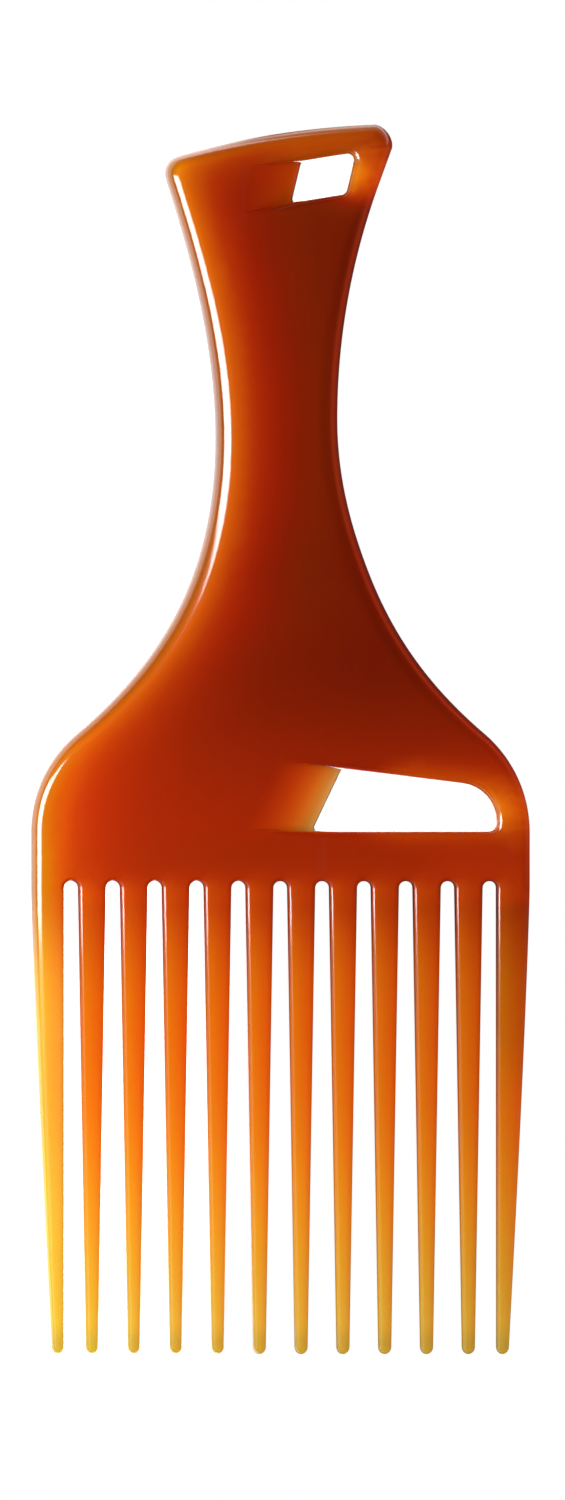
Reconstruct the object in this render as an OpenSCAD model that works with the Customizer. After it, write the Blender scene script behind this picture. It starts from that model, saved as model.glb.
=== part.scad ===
// Afro pick: one injection moulding with a flared handle, two openings with thumb scoops
// and a row of long tapered teeth. It lies on its back face, teeth towards -Y.
// The moulding is drawn as its named members, which meet face to face.

/* [Plate] */
// Thickness of the handle, the palm and the crossbar
plate_t = 6.4; // [5.2:0.1:7.6]
// Width of the rounded outer edge, seen from the front
edge_run = 3.8; // [2.6:0.1:4]
// Width of the narrow land along the middle of the outer edge
edge_land = 0.2; // [0.1:0.05:0.4]
// Radius of the rounding round the rim of both openings
rim_r = 1.5; // [0.8:0.1:2]

/* [Comb] */
// Width over the two guard teeth
comb_w = 77.2; // [70:0.2:86]
// Number of teeth, with a guard tooth at each end
tooth_n = 12; // [10:1:14]
// Length of a tooth from the top of the slots to the tips
tooth_len = 73.2; // [60:0.2:84]
// Width of a slot between two teeth
slot_w = 2.1; // [1.8:0.05:2.6]
// Width of a guard tooth at its root
guard_w = 5.2; // [4.8:0.1:6]
// How far the outer side of a guard tooth draws in to its tip
guard_draw = 3.2; // [2.2:0.1:3.4]
// Width of an inner tooth just above its tip
tip_w = 2.05; // [1.6:0.05:2.3]
// Thickness of every tooth just above its tip
tip_t = 2.2; // [1.8:0.05:3]
// Length of the rounded end of a tooth
tip_round = 1.1; // [0.8:0.05:1.6]
// Radius of the rounded edges of a tooth at its root
tooth_edge = 1; // [0.7:0.05:1.2]
// Width of the crossbar between the slots and the finger opening
crossbar_w = 7.8; // [6.6:0.1:9]

/* [Shoulders] */
// Length of the straight side above the slots
side_len = 7.6; // [6:0.1:9]
// Radius of the shoulder
shoulder_r = 20; // [17:0.5:22]
// Angle that the shoulder turns through before it runs into the flank
shoulder_turn = 49.5; // [46:0.5:52]

/* [Handle] */
// Height of the nape above the slots, where the flanks straighten into the handle
nape_up = 52.7; // [48:0.2:56]
// Distance from the axis to the left side at the nape
nape_left = 12.05; // [11.2:0.05:13.5]
// Distance from the axis to the right side at the nape
nape_right = 11.95; // [11.2:0.05:13.5]
// Inward lean of the left side at the nape
nape_lean_left = 14; // [10:0.5:20]
// Inward lean of the right side at the nape
nape_lean_right = 18; // [12:0.5:22]
// Height of the waist above the slots, on the left side
waist_up_left = 68.4; // [64:0.2:74]
// Height of the waist above the slots, on the right side
waist_up_right = 71.4; // [66:0.2:76]
// Distance from the axis to the left side at the waist
waist_left = 10.2; // [9:0.1:12]
// Distance from the axis to the right side at the waist
waist_right = 8.85; // [8:0.1:11]
// Height of the head above the slots, where its sides are measured
head_up = 108; // [104:0.5:112]
// Distance from the axis to the left side at the head
head_left = 17.75; // [16.4:0.1:19]
// Distance from the axis to the right side at the head
head_right = 15.35; // [14.6:0.1:17]
// Outward lean of the left side at the head
head_lean_left = 18; // [14:0.5:20]
// Outward lean of the right side at the head
head_lean_right = 20; // [17:0.5:22]
// Height above the slots of the highest point of the crown's arc
crown_up = 117.15; // [115:0.05:120]
// Radius of the crown's arc
crown_r = 137; // [115:1:160]
// Distance from the axis to the highest point of the crown's arc
crown_side = 20; // [16:0.5:22]

/* [Hang opening] */
// Width of the opening along its tilted edges
hang_w = 8.4; // [7:0.1:8.6]
// Height of the opening
hang_h = 6.2; // [5.5:0.1:7]
// Width of the post between the opening's lower right corner and the side of the head
hang_post_w = 5.3; // [4.6:0.1:6]
// Width of the rail between the crown and the opening
hang_rail_w = 4.35; // [3.8:0.05:5]
// Upward tilt of the opening's long edges
hang_tilt = 9.2; // [6:0.2:11]
// Lean of the opening's ends
hang_lean = 13.5; // [9:0.5:16]
// Corner radius at the post
hang_corner = 0.9; // [0.5:0.05:1.2]
// Length of the thumb scoop beside the opening
hang_scoop_len = 8.7; // [7:0.1:10]
// Angle by which each side of that scoop spreads away from the opening
hang_scoop_spread = 5; // [2:0.5:7]

/* [Finger opening] */
// Distance from the axis to the lower left corner
finger_left = 5; // [3:0.1:7]
// Width of the post between the opening's right end and the side
finger_post_w = 5.3; // [4.8:0.1:8.6]
// Height of the opening at its left end
finger_h = 9.5; // [8.6:0.1:10.4]
// Lean of the left end
finger_lean = 25.5; // [20:0.5:30]
// Downward slope of the upper edge
finger_fall = 7; // [5:0.2:8.4]
// Corner radius at the upper right
finger_bend = 5.8; // [4:0.1:6]
// Corner radius at the lower right
finger_corner = 1.2; // [0.8:0.05:1.6]
// Length of the thumb scoop beside the opening
finger_scoop_len = 11.2; // [9:0.1:13]

/* [Scoops] */
// Thickness left at the thin end of both scoops
scoop_floor = 0.8; // [0.6:0.05:1.6]
// Corner radius where a scoop meets its opening
scoop_corner = 0.5; // [0.3:0.05:0.7]

/* [Hidden] */
INNER = [for (i = [1 : tooth_n - 2]) str("tooth_", i < 10 ? "0" : "", i)];

// Heights along Y: the part is centred on its own length
half_len = (tooth_len + crown_up) / 2;
root_y = tooth_len - half_len;
crown_y = root_y + crown_up;
tip_y = root_y - tooth_len;
side_top_y = root_y + side_len;
flank_y = side_top_y + shoulder_r * sin(shoulder_turn);
flank_x = comb_w / 2 - shoulder_r * (1 - cos(shoulder_turn));
waist_left_y = root_y + waist_up_left;
waist_right_y = root_y + waist_up_right;
waist_y = (waist_left_y + waist_right_y) / 2;
head_y = root_y + head_up;
nape_y = root_y + nape_up;
neck_share = 0.25;
neck_y = mix(flank_y, waist_y, neck_share);

// A value part of the way between two others
function mix(a, b, s) = a + (b - a) * s;

// Slots and teeth
slot_r = slot_w / 2;
tooth_y = root_y - slot_r;
tooth_w = (comb_w - 2 * guard_w - (tooth_n - 1) * slot_w) / (tooth_n - 2);
pitch = tooth_w + slot_w;
first_slot_x = guard_w + slot_r - comb_w / 2;

// Power of the curve by which a guard tooth's outer side draws in: 1 is straight
guard_bow = 1.2;

// Roundness of a tooth's edges at its tip, as a share of half its width there
tip_edge_share = 0.9;

// Middle of the thickness, overrun of the cutters, a length that reaches past both sides
// and the half step over which the lean of a side is measured
mid_z = plate_t / 2;
over = plate_t / 4;
reach = comb_w;
probe = edge_land / 4;

// Counts of steps across and along the rounded surfaces
edge_steps = 8;
flat_steps = 8;
crown_steps = 7;
corner_steps = 4;
bend_steps = 9;
rim_steps = 4;
tooth_rows = 3;
guard_row_count = 8;
tooth_edge_steps = 4;
dome_steps = 4;

// Angles at which a tooth's rounded end and the crown's rounded edge stop short of a bare line
dome_end = 82;
crown_end = 87.5;

// Fullness of the head's corners: 2 is round, more is squarer
left_power = 2.4;
right_power = 1.5;

// Greatest distance between two rows of the plate, and the row where the head's members start
row_gap_share = 0.6;
row_gap = edge_run * row_gap_share;
head_start_y = head_y - 4 * edge_run;

// A smooth curve between two heights, from the places and slopes at its ends
function blend_x(y, y0, x0, m0, y1, x1, m1) =
    let (d = y1 - y0, s = (y - y0) / d)
    x0 * (1 + 2 * s) * pow(1 - s, 2) + m0 * d * s * pow(1 - s, 2)
    + x1 * s * s * (3 - 2 * s) + m1 * d * s * s * (s - 1);

// Distance from the axis to one side of the outline at a height
function side_x(y, nape, nape_slope, waist, waist_y, head, head_slope) =
    y < side_top_y ? comb_w / 2
    : y < flank_y ? comb_w / 2 - shoulder_r + sqrt(pow(shoulder_r, 2) - pow(y - side_top_y, 2))
    : y < nape_y ? blend_x(y, flank_y, flank_x, -tan(shoulder_turn), nape_y, nape, -nape_slope)
    : y < waist_y ? blend_x(y, nape_y, nape, -nape_slope, waist_y, waist, 0)
    : y < head_y ? blend_x(y, waist_y, waist, 0, head_y, head, head_slope)
    : head + head_slope * (y - head_y);
function left_side(y) = side_x(y, nape_left, tan(nape_lean_left), waist_left, waist_left_y,
                               head_left, tan(head_lean_left));
function right_side(y) = side_x(y, nape_right, tan(nape_lean_right), waist_right, waist_right_y,
                                head_right, tan(head_lean_right));

// Height of the crown's arc at a distance from the axis
function crown(x) = crown_y - crown_r + sqrt(pow(crown_r, 2) - pow(x - crown_side, 2));

// A row of the mesh rises towards the head until it runs alongside the crown
function smooth(s) = s * s * (3 - 2 * s);
function row_tilt(y) = smooth(max(0, min(1, (y - waist_y) / (head_y - waist_y))));
function row_y(y, x) = y + row_tilt(y) * (crown(x) - crown(0));
function crown_depth(y) = max(0, 1 - (crown(0) - y) / edge_run);

// Length that a slanted side adds to a distance measured across it
function left_stretch(y) = norm([left_side(y + probe) - left_side(y - probe), 2 * probe]) / (2 * probe);
function right_stretch(y) = norm([right_side(y + probe) - right_side(y - probe), 2 * probe]) / (2 * probe);

// Place across a row that lies a share of the edge inside a side
function left_x(y, q, x, n = 4) = n == 0 ? x
    : let (h = row_y(y, x)) left_x(y, q, edge_run * (1 - q) * left_stretch(h) - left_side(h), n - 1);
function right_x(y, q, x, n = 4) = n == 0 ? x
    : let (h = row_y(y, x)) right_x(y, q, right_side(h) - edge_run * (1 - q) * right_stretch(h), n - 1);

// Half of the plate's thickness for shares of the side's and the crown's edge that are still to go
function plate_half(q_side, q_crown, power) =
    let (q = pow(pow(q_side, power) + pow(q_crown, power), 1 / power))
    edge_land / 2 + (mid_z - edge_land / 2) * sqrt(max(0, 1 - q * q));

// Share of the side's edge that is still to go where a row starts
function row_start(t, power) = pow(1 - pow(t, power), 1 / power);

// One row of the plate, as places across it with half of the thickness at each
function plate_row(y) =
    let (t = crown_depth(y),
         left_start = row_start(t, left_power),
         right_start = row_start(t, right_power),
         a = left_x(y, 0, 0),
         b = right_x(y, 0, 0))
    [for (i = [0 : edge_steps - 1]) let (q = left_start * cos(90 * i / edge_steps), x = left_x(y, q, a))
         [x, row_y(y, x), plate_half(q, t, left_power)],
     for (i = [0 : flat_steps]) let (x = a + (b - a) * i / flat_steps)
         [x, row_y(y, x), plate_half(0, t, left_power)],
     for (i = [edge_steps - 1 : -1 : 0]) let (q = right_start * cos(90 * i / edge_steps), x = right_x(y, q, b))
         [x, row_y(y, x), plate_half(q, t, right_power)]];

function steps_between(a, b) = let (n = ceil((b - a) / row_gap)) [for (i = [0 : n]) a + (b - a) * i / n];
function plate_rows(a, b) = [for (y = steps_between(a, b)) plate_row(y)];
function head_rows(a) = concat(plate_rows(a, crown(0) - edge_run),
    [for (j = [1 : crown_steps]) let (q = pow(sin(crown_end * j / crown_steps), 2 / left_power))
         plate_row(crown(0) - edge_run * (1 - q))]);

// A closed solid between two sheets that mirror each other about the middle of the plate
module sheets(rows) {
    m = len(rows);
    n = len(rows[0]);
    low = m * n;
    points = [for (r = rows) for (p = r) [p[0], p[1], mid_z + p[2]],
              for (r = rows) for (p = r) [p[0], p[1], mid_z - p[2]]];
    skin = [for (j = [0 : m - 2]) for (i = [0 : n - 2])
                let (a = j * n + i, b = a + 1, c = a + n, d = c + 1)
                each [[a, c, b], [b, c, d], [low + a, low + b, low + c], [low + b, low + d, low + c]]];
    sides = [for (j = [0 : m - 2]) let (a = j * n, c = a + n, b = a + n - 1, d = c + n - 1)
                each [[a, low + a, c], [c, low + a, low + c], [b, d, low + b], [d, low + d, low + b]]];
    ends = [for (i = [0 : n - 2]) let (a = i, b = i + 1, c = (m - 1) * n + i, d = c + 1)
                each [[a, b, low + a], [b, low + b, low + a], [c, low + c, d], [d, low + c, low + d]]];
    polyhedron(points, concat(skin, sides, ends));
}

// Corner centres and radii of the openings, from the lower left corner round to the upper left
hang_slope = tan(hang_tilt);
hang_run = hang_w * cos(hang_tilt);
hang_shift = hang_h * tan(hang_lean);
hang_side = head_right - hang_post_w - hang_run;
hang_top_y = crown(hang_side + hang_shift + hang_run) - hang_rail_w;
hang_low_y = hang_top_y - hang_h - hang_run * hang_slope;
HANG_CORNERS = [[hang_side, hang_low_y],
                [hang_side + hang_run, hang_low_y + hang_run * hang_slope],
                [hang_side + hang_run + hang_shift, hang_top_y],
                [hang_side + hang_shift, hang_top_y - hang_run * hang_slope]];
HANG_RADII = [scoop_corner, hang_corner, hang_corner, scoop_corner];

finger_low_y = root_y + crossbar_w;
finger_right = comb_w / 2 - finger_post_w;
finger_top_x = finger_left + finger_h * tan(finger_lean);
FINGER_CORNERS = [[finger_left, finger_low_y],
                  [finger_right, finger_low_y],
                  [finger_right, finger_low_y + finger_h - (finger_right - finger_top_x) * tan(finger_fall)],
                  [finger_top_x, finger_low_y + finger_h]];
FINGER_RADII = [scoop_corner, finger_corner, finger_bend, scoop_corner];

// Centre of the round of one corner, which touches both edges that meet there
function unit(v) = v / norm(v);
function round_centre(corners, radii, i) =
    let (p = corners[i],
         a = unit(corners[(i + 3) % 4] - p),
         b = unit(corners[(i + 1) % 4] - p),
         half = acos(a * b) / 2)
    p + unit(a + b) * radii[i] / sin(half);
function centres(corners, radii) = [for (i = [0 : 3]) round_centre(corners, radii, i)];

// Heading of an edge's outward normal, for corners that run anticlockwise
function heading(corners, i) = let (v = corners[(i + 1) % 4] - corners[i]) atan2(-v[0], v[1]);
function turn_from(a, b) = a + ((b - a) % 360 + 360) % 360;

// Outline of an opening with every edge moved outwards by grow
function opening_path(corners, radii, grow) =
    [for (i = [0 : 3])
        let (c = round_centre(corners, radii, i),
             a = heading(corners, (i + 3) % 4),
             b = turn_from(a, heading(corners, i)),
             n = radii[i] > 2 * rim_r ? bend_steps : corner_steps)
        for (k = [0 : n]) let (h = a + (b - a) * k / n) c + (radii[i] + grow) * [cos(h), sin(h)]];

// A cutter for an opening whose rims are rounded on both faces
function rim_levels() = concat([[-over, rim_r]],
    [for (k = [0 : rim_steps]) let (h = 90 * k / rim_steps) [rim_r * (1 - cos(h)), rim_r * (1 - sin(h))]],
    [for (k = [rim_steps : -1 : 0]) let (h = 90 * k / rim_steps)
        [plate_t - rim_r * (1 - cos(h)), rim_r * (1 - sin(h))]],
    [[plate_t + over, rim_r]]);
module opening_cut(corners, radii) {
    levels = rim_levels();
    rings = [for (v = levels) [for (p = opening_path(corners, radii, v[1])) [p[0], p[1], v[0]]]];
    n = len(rings[0]);
    m = len(rings);
    walls = [for (j = [0 : m - 2]) for (i = [0 : n - 1])
                let (a = j * n + i, b = j * n + (i + 1) % n, c = a + n, d = b + n)
                each [[a, c, b], [b, c, d]]];
    caps = [[for (i = [0 : n - 1]) i], [for (i = [n - 1 : -1 : 0]) (m - 1) * n + i]];
    polyhedron([for (r = rings) each r], concat(walls, caps));
}

// Plan of a thumb scoop, from the thin edge beside an opening out to the line where it starts.
// Its sides run on from the opening's long edges, each turned outwards by spread.
function rotate_by(v, a) = [v[0] * cos(a) - v[1] * sin(a), v[0] * sin(a) + v[1] * cos(a)];
function scoop_plan(corners, radii, length, spread) =
    let (low = round_centre(corners, radii, 0),
         high = round_centre(corners, radii, 3),
         fall = unit(corners[3] - corners[2]),
         flat = unit(corners[0] - corners[1]),
         low_dir = rotate_by(flat, spread),
         high_dir = rotate_by(fall, -spread))
    [low, high, high + length * high_dir, low + length * low_dir];
HANG_PLAN = scoop_plan(HANG_CORNERS, HANG_RADII, hang_scoop_len, hang_scoop_spread);
FINGER_PLAN = scoop_plan(FINGER_CORNERS, FINGER_RADII, finger_scoop_len, 0);

// Cutter for a scoop: a ramp from the front face down to the thin edge, which runs on past it.
// It is wider than the member that it cuts, whose neighbours are the scoop's side walls.
module scoop_cut(plan) {
    across = unit(plan[1] - plan[0]);
    out = [across[1], -across[0]];
    start = (plan[3] - plan[0]) * out > 0 ? out : -out;
    ramp = abs((plan[3] - plan[0]) * out);
    steep = (plate_t - scoop_floor) / ramp;
    past = rim_r;
    a = plan[0] - reach * across - past * start;
    b = plan[0] + reach * across - past * start;
    far = (ramp + past + over / steep) * start;
    low = scoop_floor - past * steep;
    high = plate_t + over;
    polyhedron([[a[0], a[1], low], [b[0], b[1], low], [a[0], a[1], high], [b[0], b[1], high],
                [a[0] + far[0], a[1] + far[1], high], [b[0] + far[0], b[1] + far[1], high]],
               [[0, 2, 1], [1, 2, 3], [0, 1, 5], [0, 5, 4], [2, 4, 5], [2, 5, 3], [0, 4, 2], [1, 3, 5]]);
}

// A prism over a region of the plan, which one member fills. The corners of these regions are
// the centres of the openings' corners, so no cut runs along a rim.
module region(points) {
    translate([0, 0, -over]) linear_extrude(plate_t + 2 * over) polygon(points);
}
HANG_C = centres(HANG_CORNERS, HANG_RADII);
FINGER_C = centres(FINGER_CORNERS, FINGER_RADII);

// The cut between the finger post and the shoulder leaves the opening's corner at this heading
post_turn = 40;
post_end = FINGER_C[2] + reach * [cos(post_turn), sin(post_turn)];

module hang_opening() {
    opening_cut(HANG_CORNERS, HANG_RADII);
}

module finger_opening() {
    opening_cut(FINGER_CORNERS, FINGER_RADII);
}

// Left part of the head, with the thumb scoop
module pommel() {
    color("#a83400") difference() {
        intersection() {
            sheets(head_rows(head_start_y));
            region([[-reach, HANG_PLAN[3][1]], HANG_PLAN[3], HANG_C[0], HANG_C[3], HANG_PLAN[2],
                    [-reach, HANG_PLAN[2][1]]]);
        }
        hang_opening();
        scoop_cut(HANG_PLAN);
    }
}

// Rail over the hang opening, along the crown
module hang_rail() {
    color("#b84800") difference() {
        intersection() {
            sheets(head_rows(head_y - edge_run));
            region([[-reach, HANG_PLAN[2][1]], HANG_PLAN[2], HANG_C[3], HANG_C[2],
                    [reach, HANG_C[2][1]], [reach, crown_y + over], [-reach, crown_y + over]]);
        }
        hang_opening();
    }
}

// Post to the right of the hang opening
module hang_post() {
    color("#c45600") difference() {
        intersection() {
            sheets(head_rows(head_start_y));
            region([HANG_C[1], [reach, HANG_C[1][1]], [reach, HANG_C[2][1]], HANG_C[2]]);
        }
        hang_opening();
    }
}

// Upper half of the handle, up to the hang opening
module grip() {
    color("#8c2400") difference() {
        intersection() {
            sheets(plate_rows(waist_y, hang_top_y));
            region([[-reach, waist_y - over], [reach, waist_y - over], [reach, HANG_C[1][1]],
                    HANG_C[1], HANG_C[0], HANG_PLAN[3], [-reach, HANG_PLAN[3][1]]]);
        }
        hang_opening();
    }
}

// Lower half of the handle, from the waist to the flanks
module neck() {
    color("#7c2000") sheets(plate_rows(neck_y, waist_y));
}

// Web from the flanks to the finger opening, with both shoulders
module shoulders() {
    color("#8c2800") difference() {
        intersection() {
            sheets(plate_rows(root_y, neck_y));
            region([[-reach, FINGER_PLAN[2][1]], FINGER_PLAN[2], FINGER_C[3], FINGER_C[2], post_end,
                    [reach, neck_y + over], [-reach, neck_y + over]]);
        }
        finger_opening();
    }
}

// Palm to the left of the finger opening, with the thumb scoop
module palm() {
    color("#b04000") difference() {
        intersection() {
            sheets(plate_rows(root_y, flank_y));
            region([[-reach, FINGER_C[0][1]], FINGER_C[0], FINGER_C[3], FINGER_PLAN[2],
                    [-reach, FINGER_PLAN[2][1]]]);
        }
        finger_opening();
        scoop_cut(FINGER_PLAN);
    }
}

// Post to the right of the finger opening
module finger_post() {
    color("#c45000") difference() {
        intersection() {
            sheets(plate_rows(root_y, flank_y));
            region([FINGER_C[1], [reach, FINGER_C[1][1]], post_end, FINGER_C[2]]);
        }
        finger_opening();
    }
}

// A round slot top with rounded rims: the teeth start at its middle
module slot_cut() {
    r = slot_r;
    e = tooth_edge;
    low = [for (k = [0 : rim_steps]) let (h = 90 * k / rim_steps) [r + e * (1 - sin(h)), e * (1 - cos(h))]];
    high = [for (k = [rim_steps : -1 : 0]) let (h = 90 * k / rim_steps)
                [r + e * (1 - sin(h)), plate_t - e * (1 - cos(h))]];
    rotate([0, 0, -90]) rotate_extrude($fn = 32)
        polygon(concat([[0, -over], [r + e, -over]], low, high, [[r + e, plate_t + over], [0, plate_t + over]]));
}

// Crossbar that carries the teeth
module crossbar() {
    color("#c04400") difference() {
        intersection() {
            sheets(plate_rows(tooth_y, side_top_y + edge_run));
            region([[-reach, tooth_y - over], [reach, tooth_y - over], [reach, FINGER_C[1][1]],
                    FINGER_C[1], FINGER_C[0], [-reach, FINGER_C[0][1]]]);
        }
        finger_opening();
        for (i = [0 : tooth_n - 2]) translate([first_slot_x + i * pitch, tooth_y]) slot_cut();
    }
}

// Half of the thickness where a share q of an edge is still to go: a wall, then a rounded edge
function tooth_half(q, wall, half) = wall + (half - wall) * sqrt(max(0, 1 - q * q));

// One row of a tooth between two sides, each with its own edge width and wall height
function tooth_row(y, x0, x1, run0, run1, wall0, wall1, half) =
    [for (i = [0 : tooth_edge_steps]) let (q = cos(90 * i / tooth_edge_steps))
         [x0 + run0 * (1 - q), y, tooth_half(q, wall0, half)],
     for (i = [tooth_edge_steps : -1 : 0]) let (q = cos(90 * i / tooth_edge_steps))
         [x1 - run1 * (1 - q), y, tooth_half(q, wall1, half)]];

// Shares of the way down a tooth, and the shrinking of its rounded end
taper_end_y = tip_y + tip_round;
function tooth_stations(rows) = concat(
    [for (j = [dome_steps : -1 : 1]) let (h = dome_end * j / dome_steps)
        [taper_end_y - tip_round * sin(h), 1, cos(h)]],
    [for (j = [rows : -1 : 0]) let (s = j / rows) [mix(tooth_y, taper_end_y, s), s, 1]]);

// An inner tooth: an even taper in width and thickness to a rounded tip
module inner_tooth(x) {
    sheets([for (v = tooth_stations(tooth_rows))
        let (w = mix(tooth_w, tip_w, v[1]) * v[2] / 2,
             h = mix(plate_t, tip_t, v[1]) * v[2] / 2,
             e = mix(tooth_edge, tip_w / 2 * tip_edge_share, v[1]) * v[2])
        tooth_row(v[0], x - w, x + w, e, e, h - e, h - e, h)]);
}

// A guard tooth: straight inside, drawn in outside, with the plate's rounded edge on the outside
function guard_rows() = [for (v = tooth_stations(guard_row_count))
    let (inside = comb_w / 2 - guard_w,
         w = guard_w - guard_draw * pow(v[1], guard_bow),
         c = inside + w / 2,
         h = mix(plate_t, tip_t, v[1]) * v[2] / 2,
         e = mix(tooth_edge, tip_w / 2 * tip_edge_share, v[1]) * v[2],
         run = mix(edge_run, tip_w / 2, v[1]) * v[2],
         land = edge_land / 2 * v[2])
    tooth_row(v[0], c - w * v[2] / 2, c + w * v[2] / 2, e, run, h - e, land, h)];

module guard_tooth_right() {
    color("#c06000") sheets(guard_rows());
}

module guard_tooth_left() {
    color("#fc9410") mirror([1, 0, 0]) sheets(guard_rows());
}

pommel();
hang_rail();
hang_post();
grip();
neck();
shoulders();
palm();
finger_post();
crossbar();
guard_tooth_left();
guard_tooth_right();
for (i = [1 : tooth_n - 2]) color("#f08008") inner_tooth(first_slot_x + (i - 0.5) * pitch);
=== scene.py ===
"""Dresses the amber hair pick: one hazy amber moulding on a white table, lit from the left.

The real pick is a single injection moulding, so one seamless skin stands for all of its members. The skin
is built here from the same sizes as the solids, in metres: rings along the rounded edges, flat faces
filled between them, and the two openings with their thumb scoops.
"""

import logging
import math
from dataclasses import dataclass, field, fields
from enum import Enum
from functools import partialmethod, reduce

import bmesh
import bpy
import numpy as np
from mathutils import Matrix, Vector
from mathutils.geometry import delaunay_2d_cdt


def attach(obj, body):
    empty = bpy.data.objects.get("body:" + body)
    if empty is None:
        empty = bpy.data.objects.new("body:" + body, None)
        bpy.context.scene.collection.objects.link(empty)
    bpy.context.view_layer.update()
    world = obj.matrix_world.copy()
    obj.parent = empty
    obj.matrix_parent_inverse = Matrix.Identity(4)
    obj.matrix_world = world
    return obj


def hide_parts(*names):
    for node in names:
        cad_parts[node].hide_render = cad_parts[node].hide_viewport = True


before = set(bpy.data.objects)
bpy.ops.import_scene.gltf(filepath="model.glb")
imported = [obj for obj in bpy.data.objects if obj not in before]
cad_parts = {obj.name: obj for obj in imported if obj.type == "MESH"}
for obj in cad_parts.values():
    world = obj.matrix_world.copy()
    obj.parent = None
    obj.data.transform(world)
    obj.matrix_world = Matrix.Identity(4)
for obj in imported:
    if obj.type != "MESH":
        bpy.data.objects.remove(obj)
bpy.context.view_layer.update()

MM = 0.001
TINY = MM ** 4  # Least squared length of an edge, so that nothing is divided by zero.
LOG = logging.getLogger("pick")
Array = np.ndarray
Pair = tuple[float, float]
Triple = tuple[float, float, float]
Curve = tuple[float, float, float, float]

# Numbers that the mesh carries for its material, each with its usual value in the colour's node group. The
# light values are painted light, and Edge and Across set where painted shade falls.
MESH_VALUES = {"Light": 0.0, "Rim Light": 0.0, "Crown Light": 0.0, "Post Light": 0.0, "Hang Light": 0.0,
               "Palm": 0.0, "Stock": 1.0, "Along Tooth": 0.0, "Outer Tooth": 0.0, "Across": 0.0, "Edge": 0.0}


class Side(Enum):
    """A side of the pick, as the sign of its X."""

    LEFT = -1
    RIGHT = 1


class Face(Enum):
    """A face of the plate, as the sign of its Z from the middle."""

    FRONT = 1
    BACK = -1


def unit(v: Array) -> Array:
    """The direction of a vector, or of each row of an array of vectors."""
    return v / np.linalg.norm(v, axis=-1, keepdims=True)


def mix(a: Array, b: Array, s: Array) -> Array:
    """The value a share s of the way from a to b."""
    return a + (b - a) * s


def towards(degrees: Array) -> Array:
    """Unit vectors at headings in degrees, anticlockwise from +X."""
    turn = np.radians(degrees)
    return np.stack([np.cos(turn), np.sin(turn)], axis=-1)


def turned(v: Array, degrees: float) -> Array:
    """A vector of the plan turned anticlockwise."""
    c, s = towards(degrees)
    return np.array([v[0] * c - v[1] * s, v[0] * s + v[1] * c])


def raised(xy: Array, z: Array) -> Array:
    """Points of the plan with one height, or with one each."""
    return np.column_stack([xy, np.broadcast_to(z, len(xy))])


def quarter(steps: int) -> list[Pair]:
    """Sine and cosine at each step through a quarter turn."""
    return [(math.sin(math.pi / 2 * i / steps), math.cos(math.pi / 2 * i / steps)) for i in range(steps + 1)]


def blend(y: float, start: Triple, end: Triple) -> float:
    """A smooth curve between two heights.

    Args:
        y: The height.
        start: Height, distance and slope where the curve starts.
        end: Height, distance and slope where it ends.

    Returns:
        The distance at y.
    """
    (y0, x0, m0), (y1, x1, m1) = start, end
    d = y1 - y0
    s = (y - y0) / d
    return (x0 * (1 + 2 * s) * (1 - s) ** 2 + m0 * d * s * (1 - s) ** 2
            + x1 * s * s * (3 - 2 * s) + m1 * d * s * s * (s - 1))


def covered(points: Array, loops: list[Array]) -> Array:
    """Says which points of the plan lie inside an odd number of loops.

    Args:
        points: The points.
        loops: Closed loops of the plan.

    Returns:
        One truth value for each point.
    """
    inside = np.zeros(len(points), bool)
    x, y = points[:, 0], points[:, 1]
    for loop in loops:
        for (x0, y0), (x1, y1) in zip(loop, np.roll(loop, -1, axis=0)):
            if y0 != y1:
                inside ^= ((y < y0) != (y < y1)) & (x < x0 + (y - y0) * (x1 - x0) / (y1 - y0))
    return inside


def clearance(points: Array, loop: Array) -> Array:
    """Measures how far points of the plan are from a closed loop.

    Args:
        points: The points.
        loop: The loop.

    Returns:
        The distance from each point to the nearest place on the loop.
    """
    a, b = loop, np.roll(loop, -1, axis=0)
    along = b - a
    length = np.maximum((along ** 2).sum(axis=1), TINY)
    share = np.clip(((points[:, None] - a) * along).sum(axis=2) / length, 0, 1)
    return np.linalg.norm(points[:, None] - a - share[..., None] * along, axis=2).min(axis=1)


def placed(name: str, data: bpy.types.ID) -> bpy.types.Object:
    """A new object in the scene."""
    obj = bpy.data.objects.new(name, data)
    bpy.context.scene.collection.objects.link(obj)
    return obj


class Stretch:
    """Points that follow each other. Each field of a stretch has one row for each point."""

    @classmethod
    def joined(cls, parts: list["Stretch"]) -> "Stretch":
        """One stretch made of several that follow each other."""
        return cls(*(np.concatenate([getattr(part, item.name) for part in parts]) for item in fields(cls)))

    def cut(self, *ends: int | None) -> "Stretch":
        """The points from a start to an end, and with a step if one is given."""
        return type(self)(*(getattr(self, item.name)[slice(*ends)] for item in fields(self)))


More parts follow.
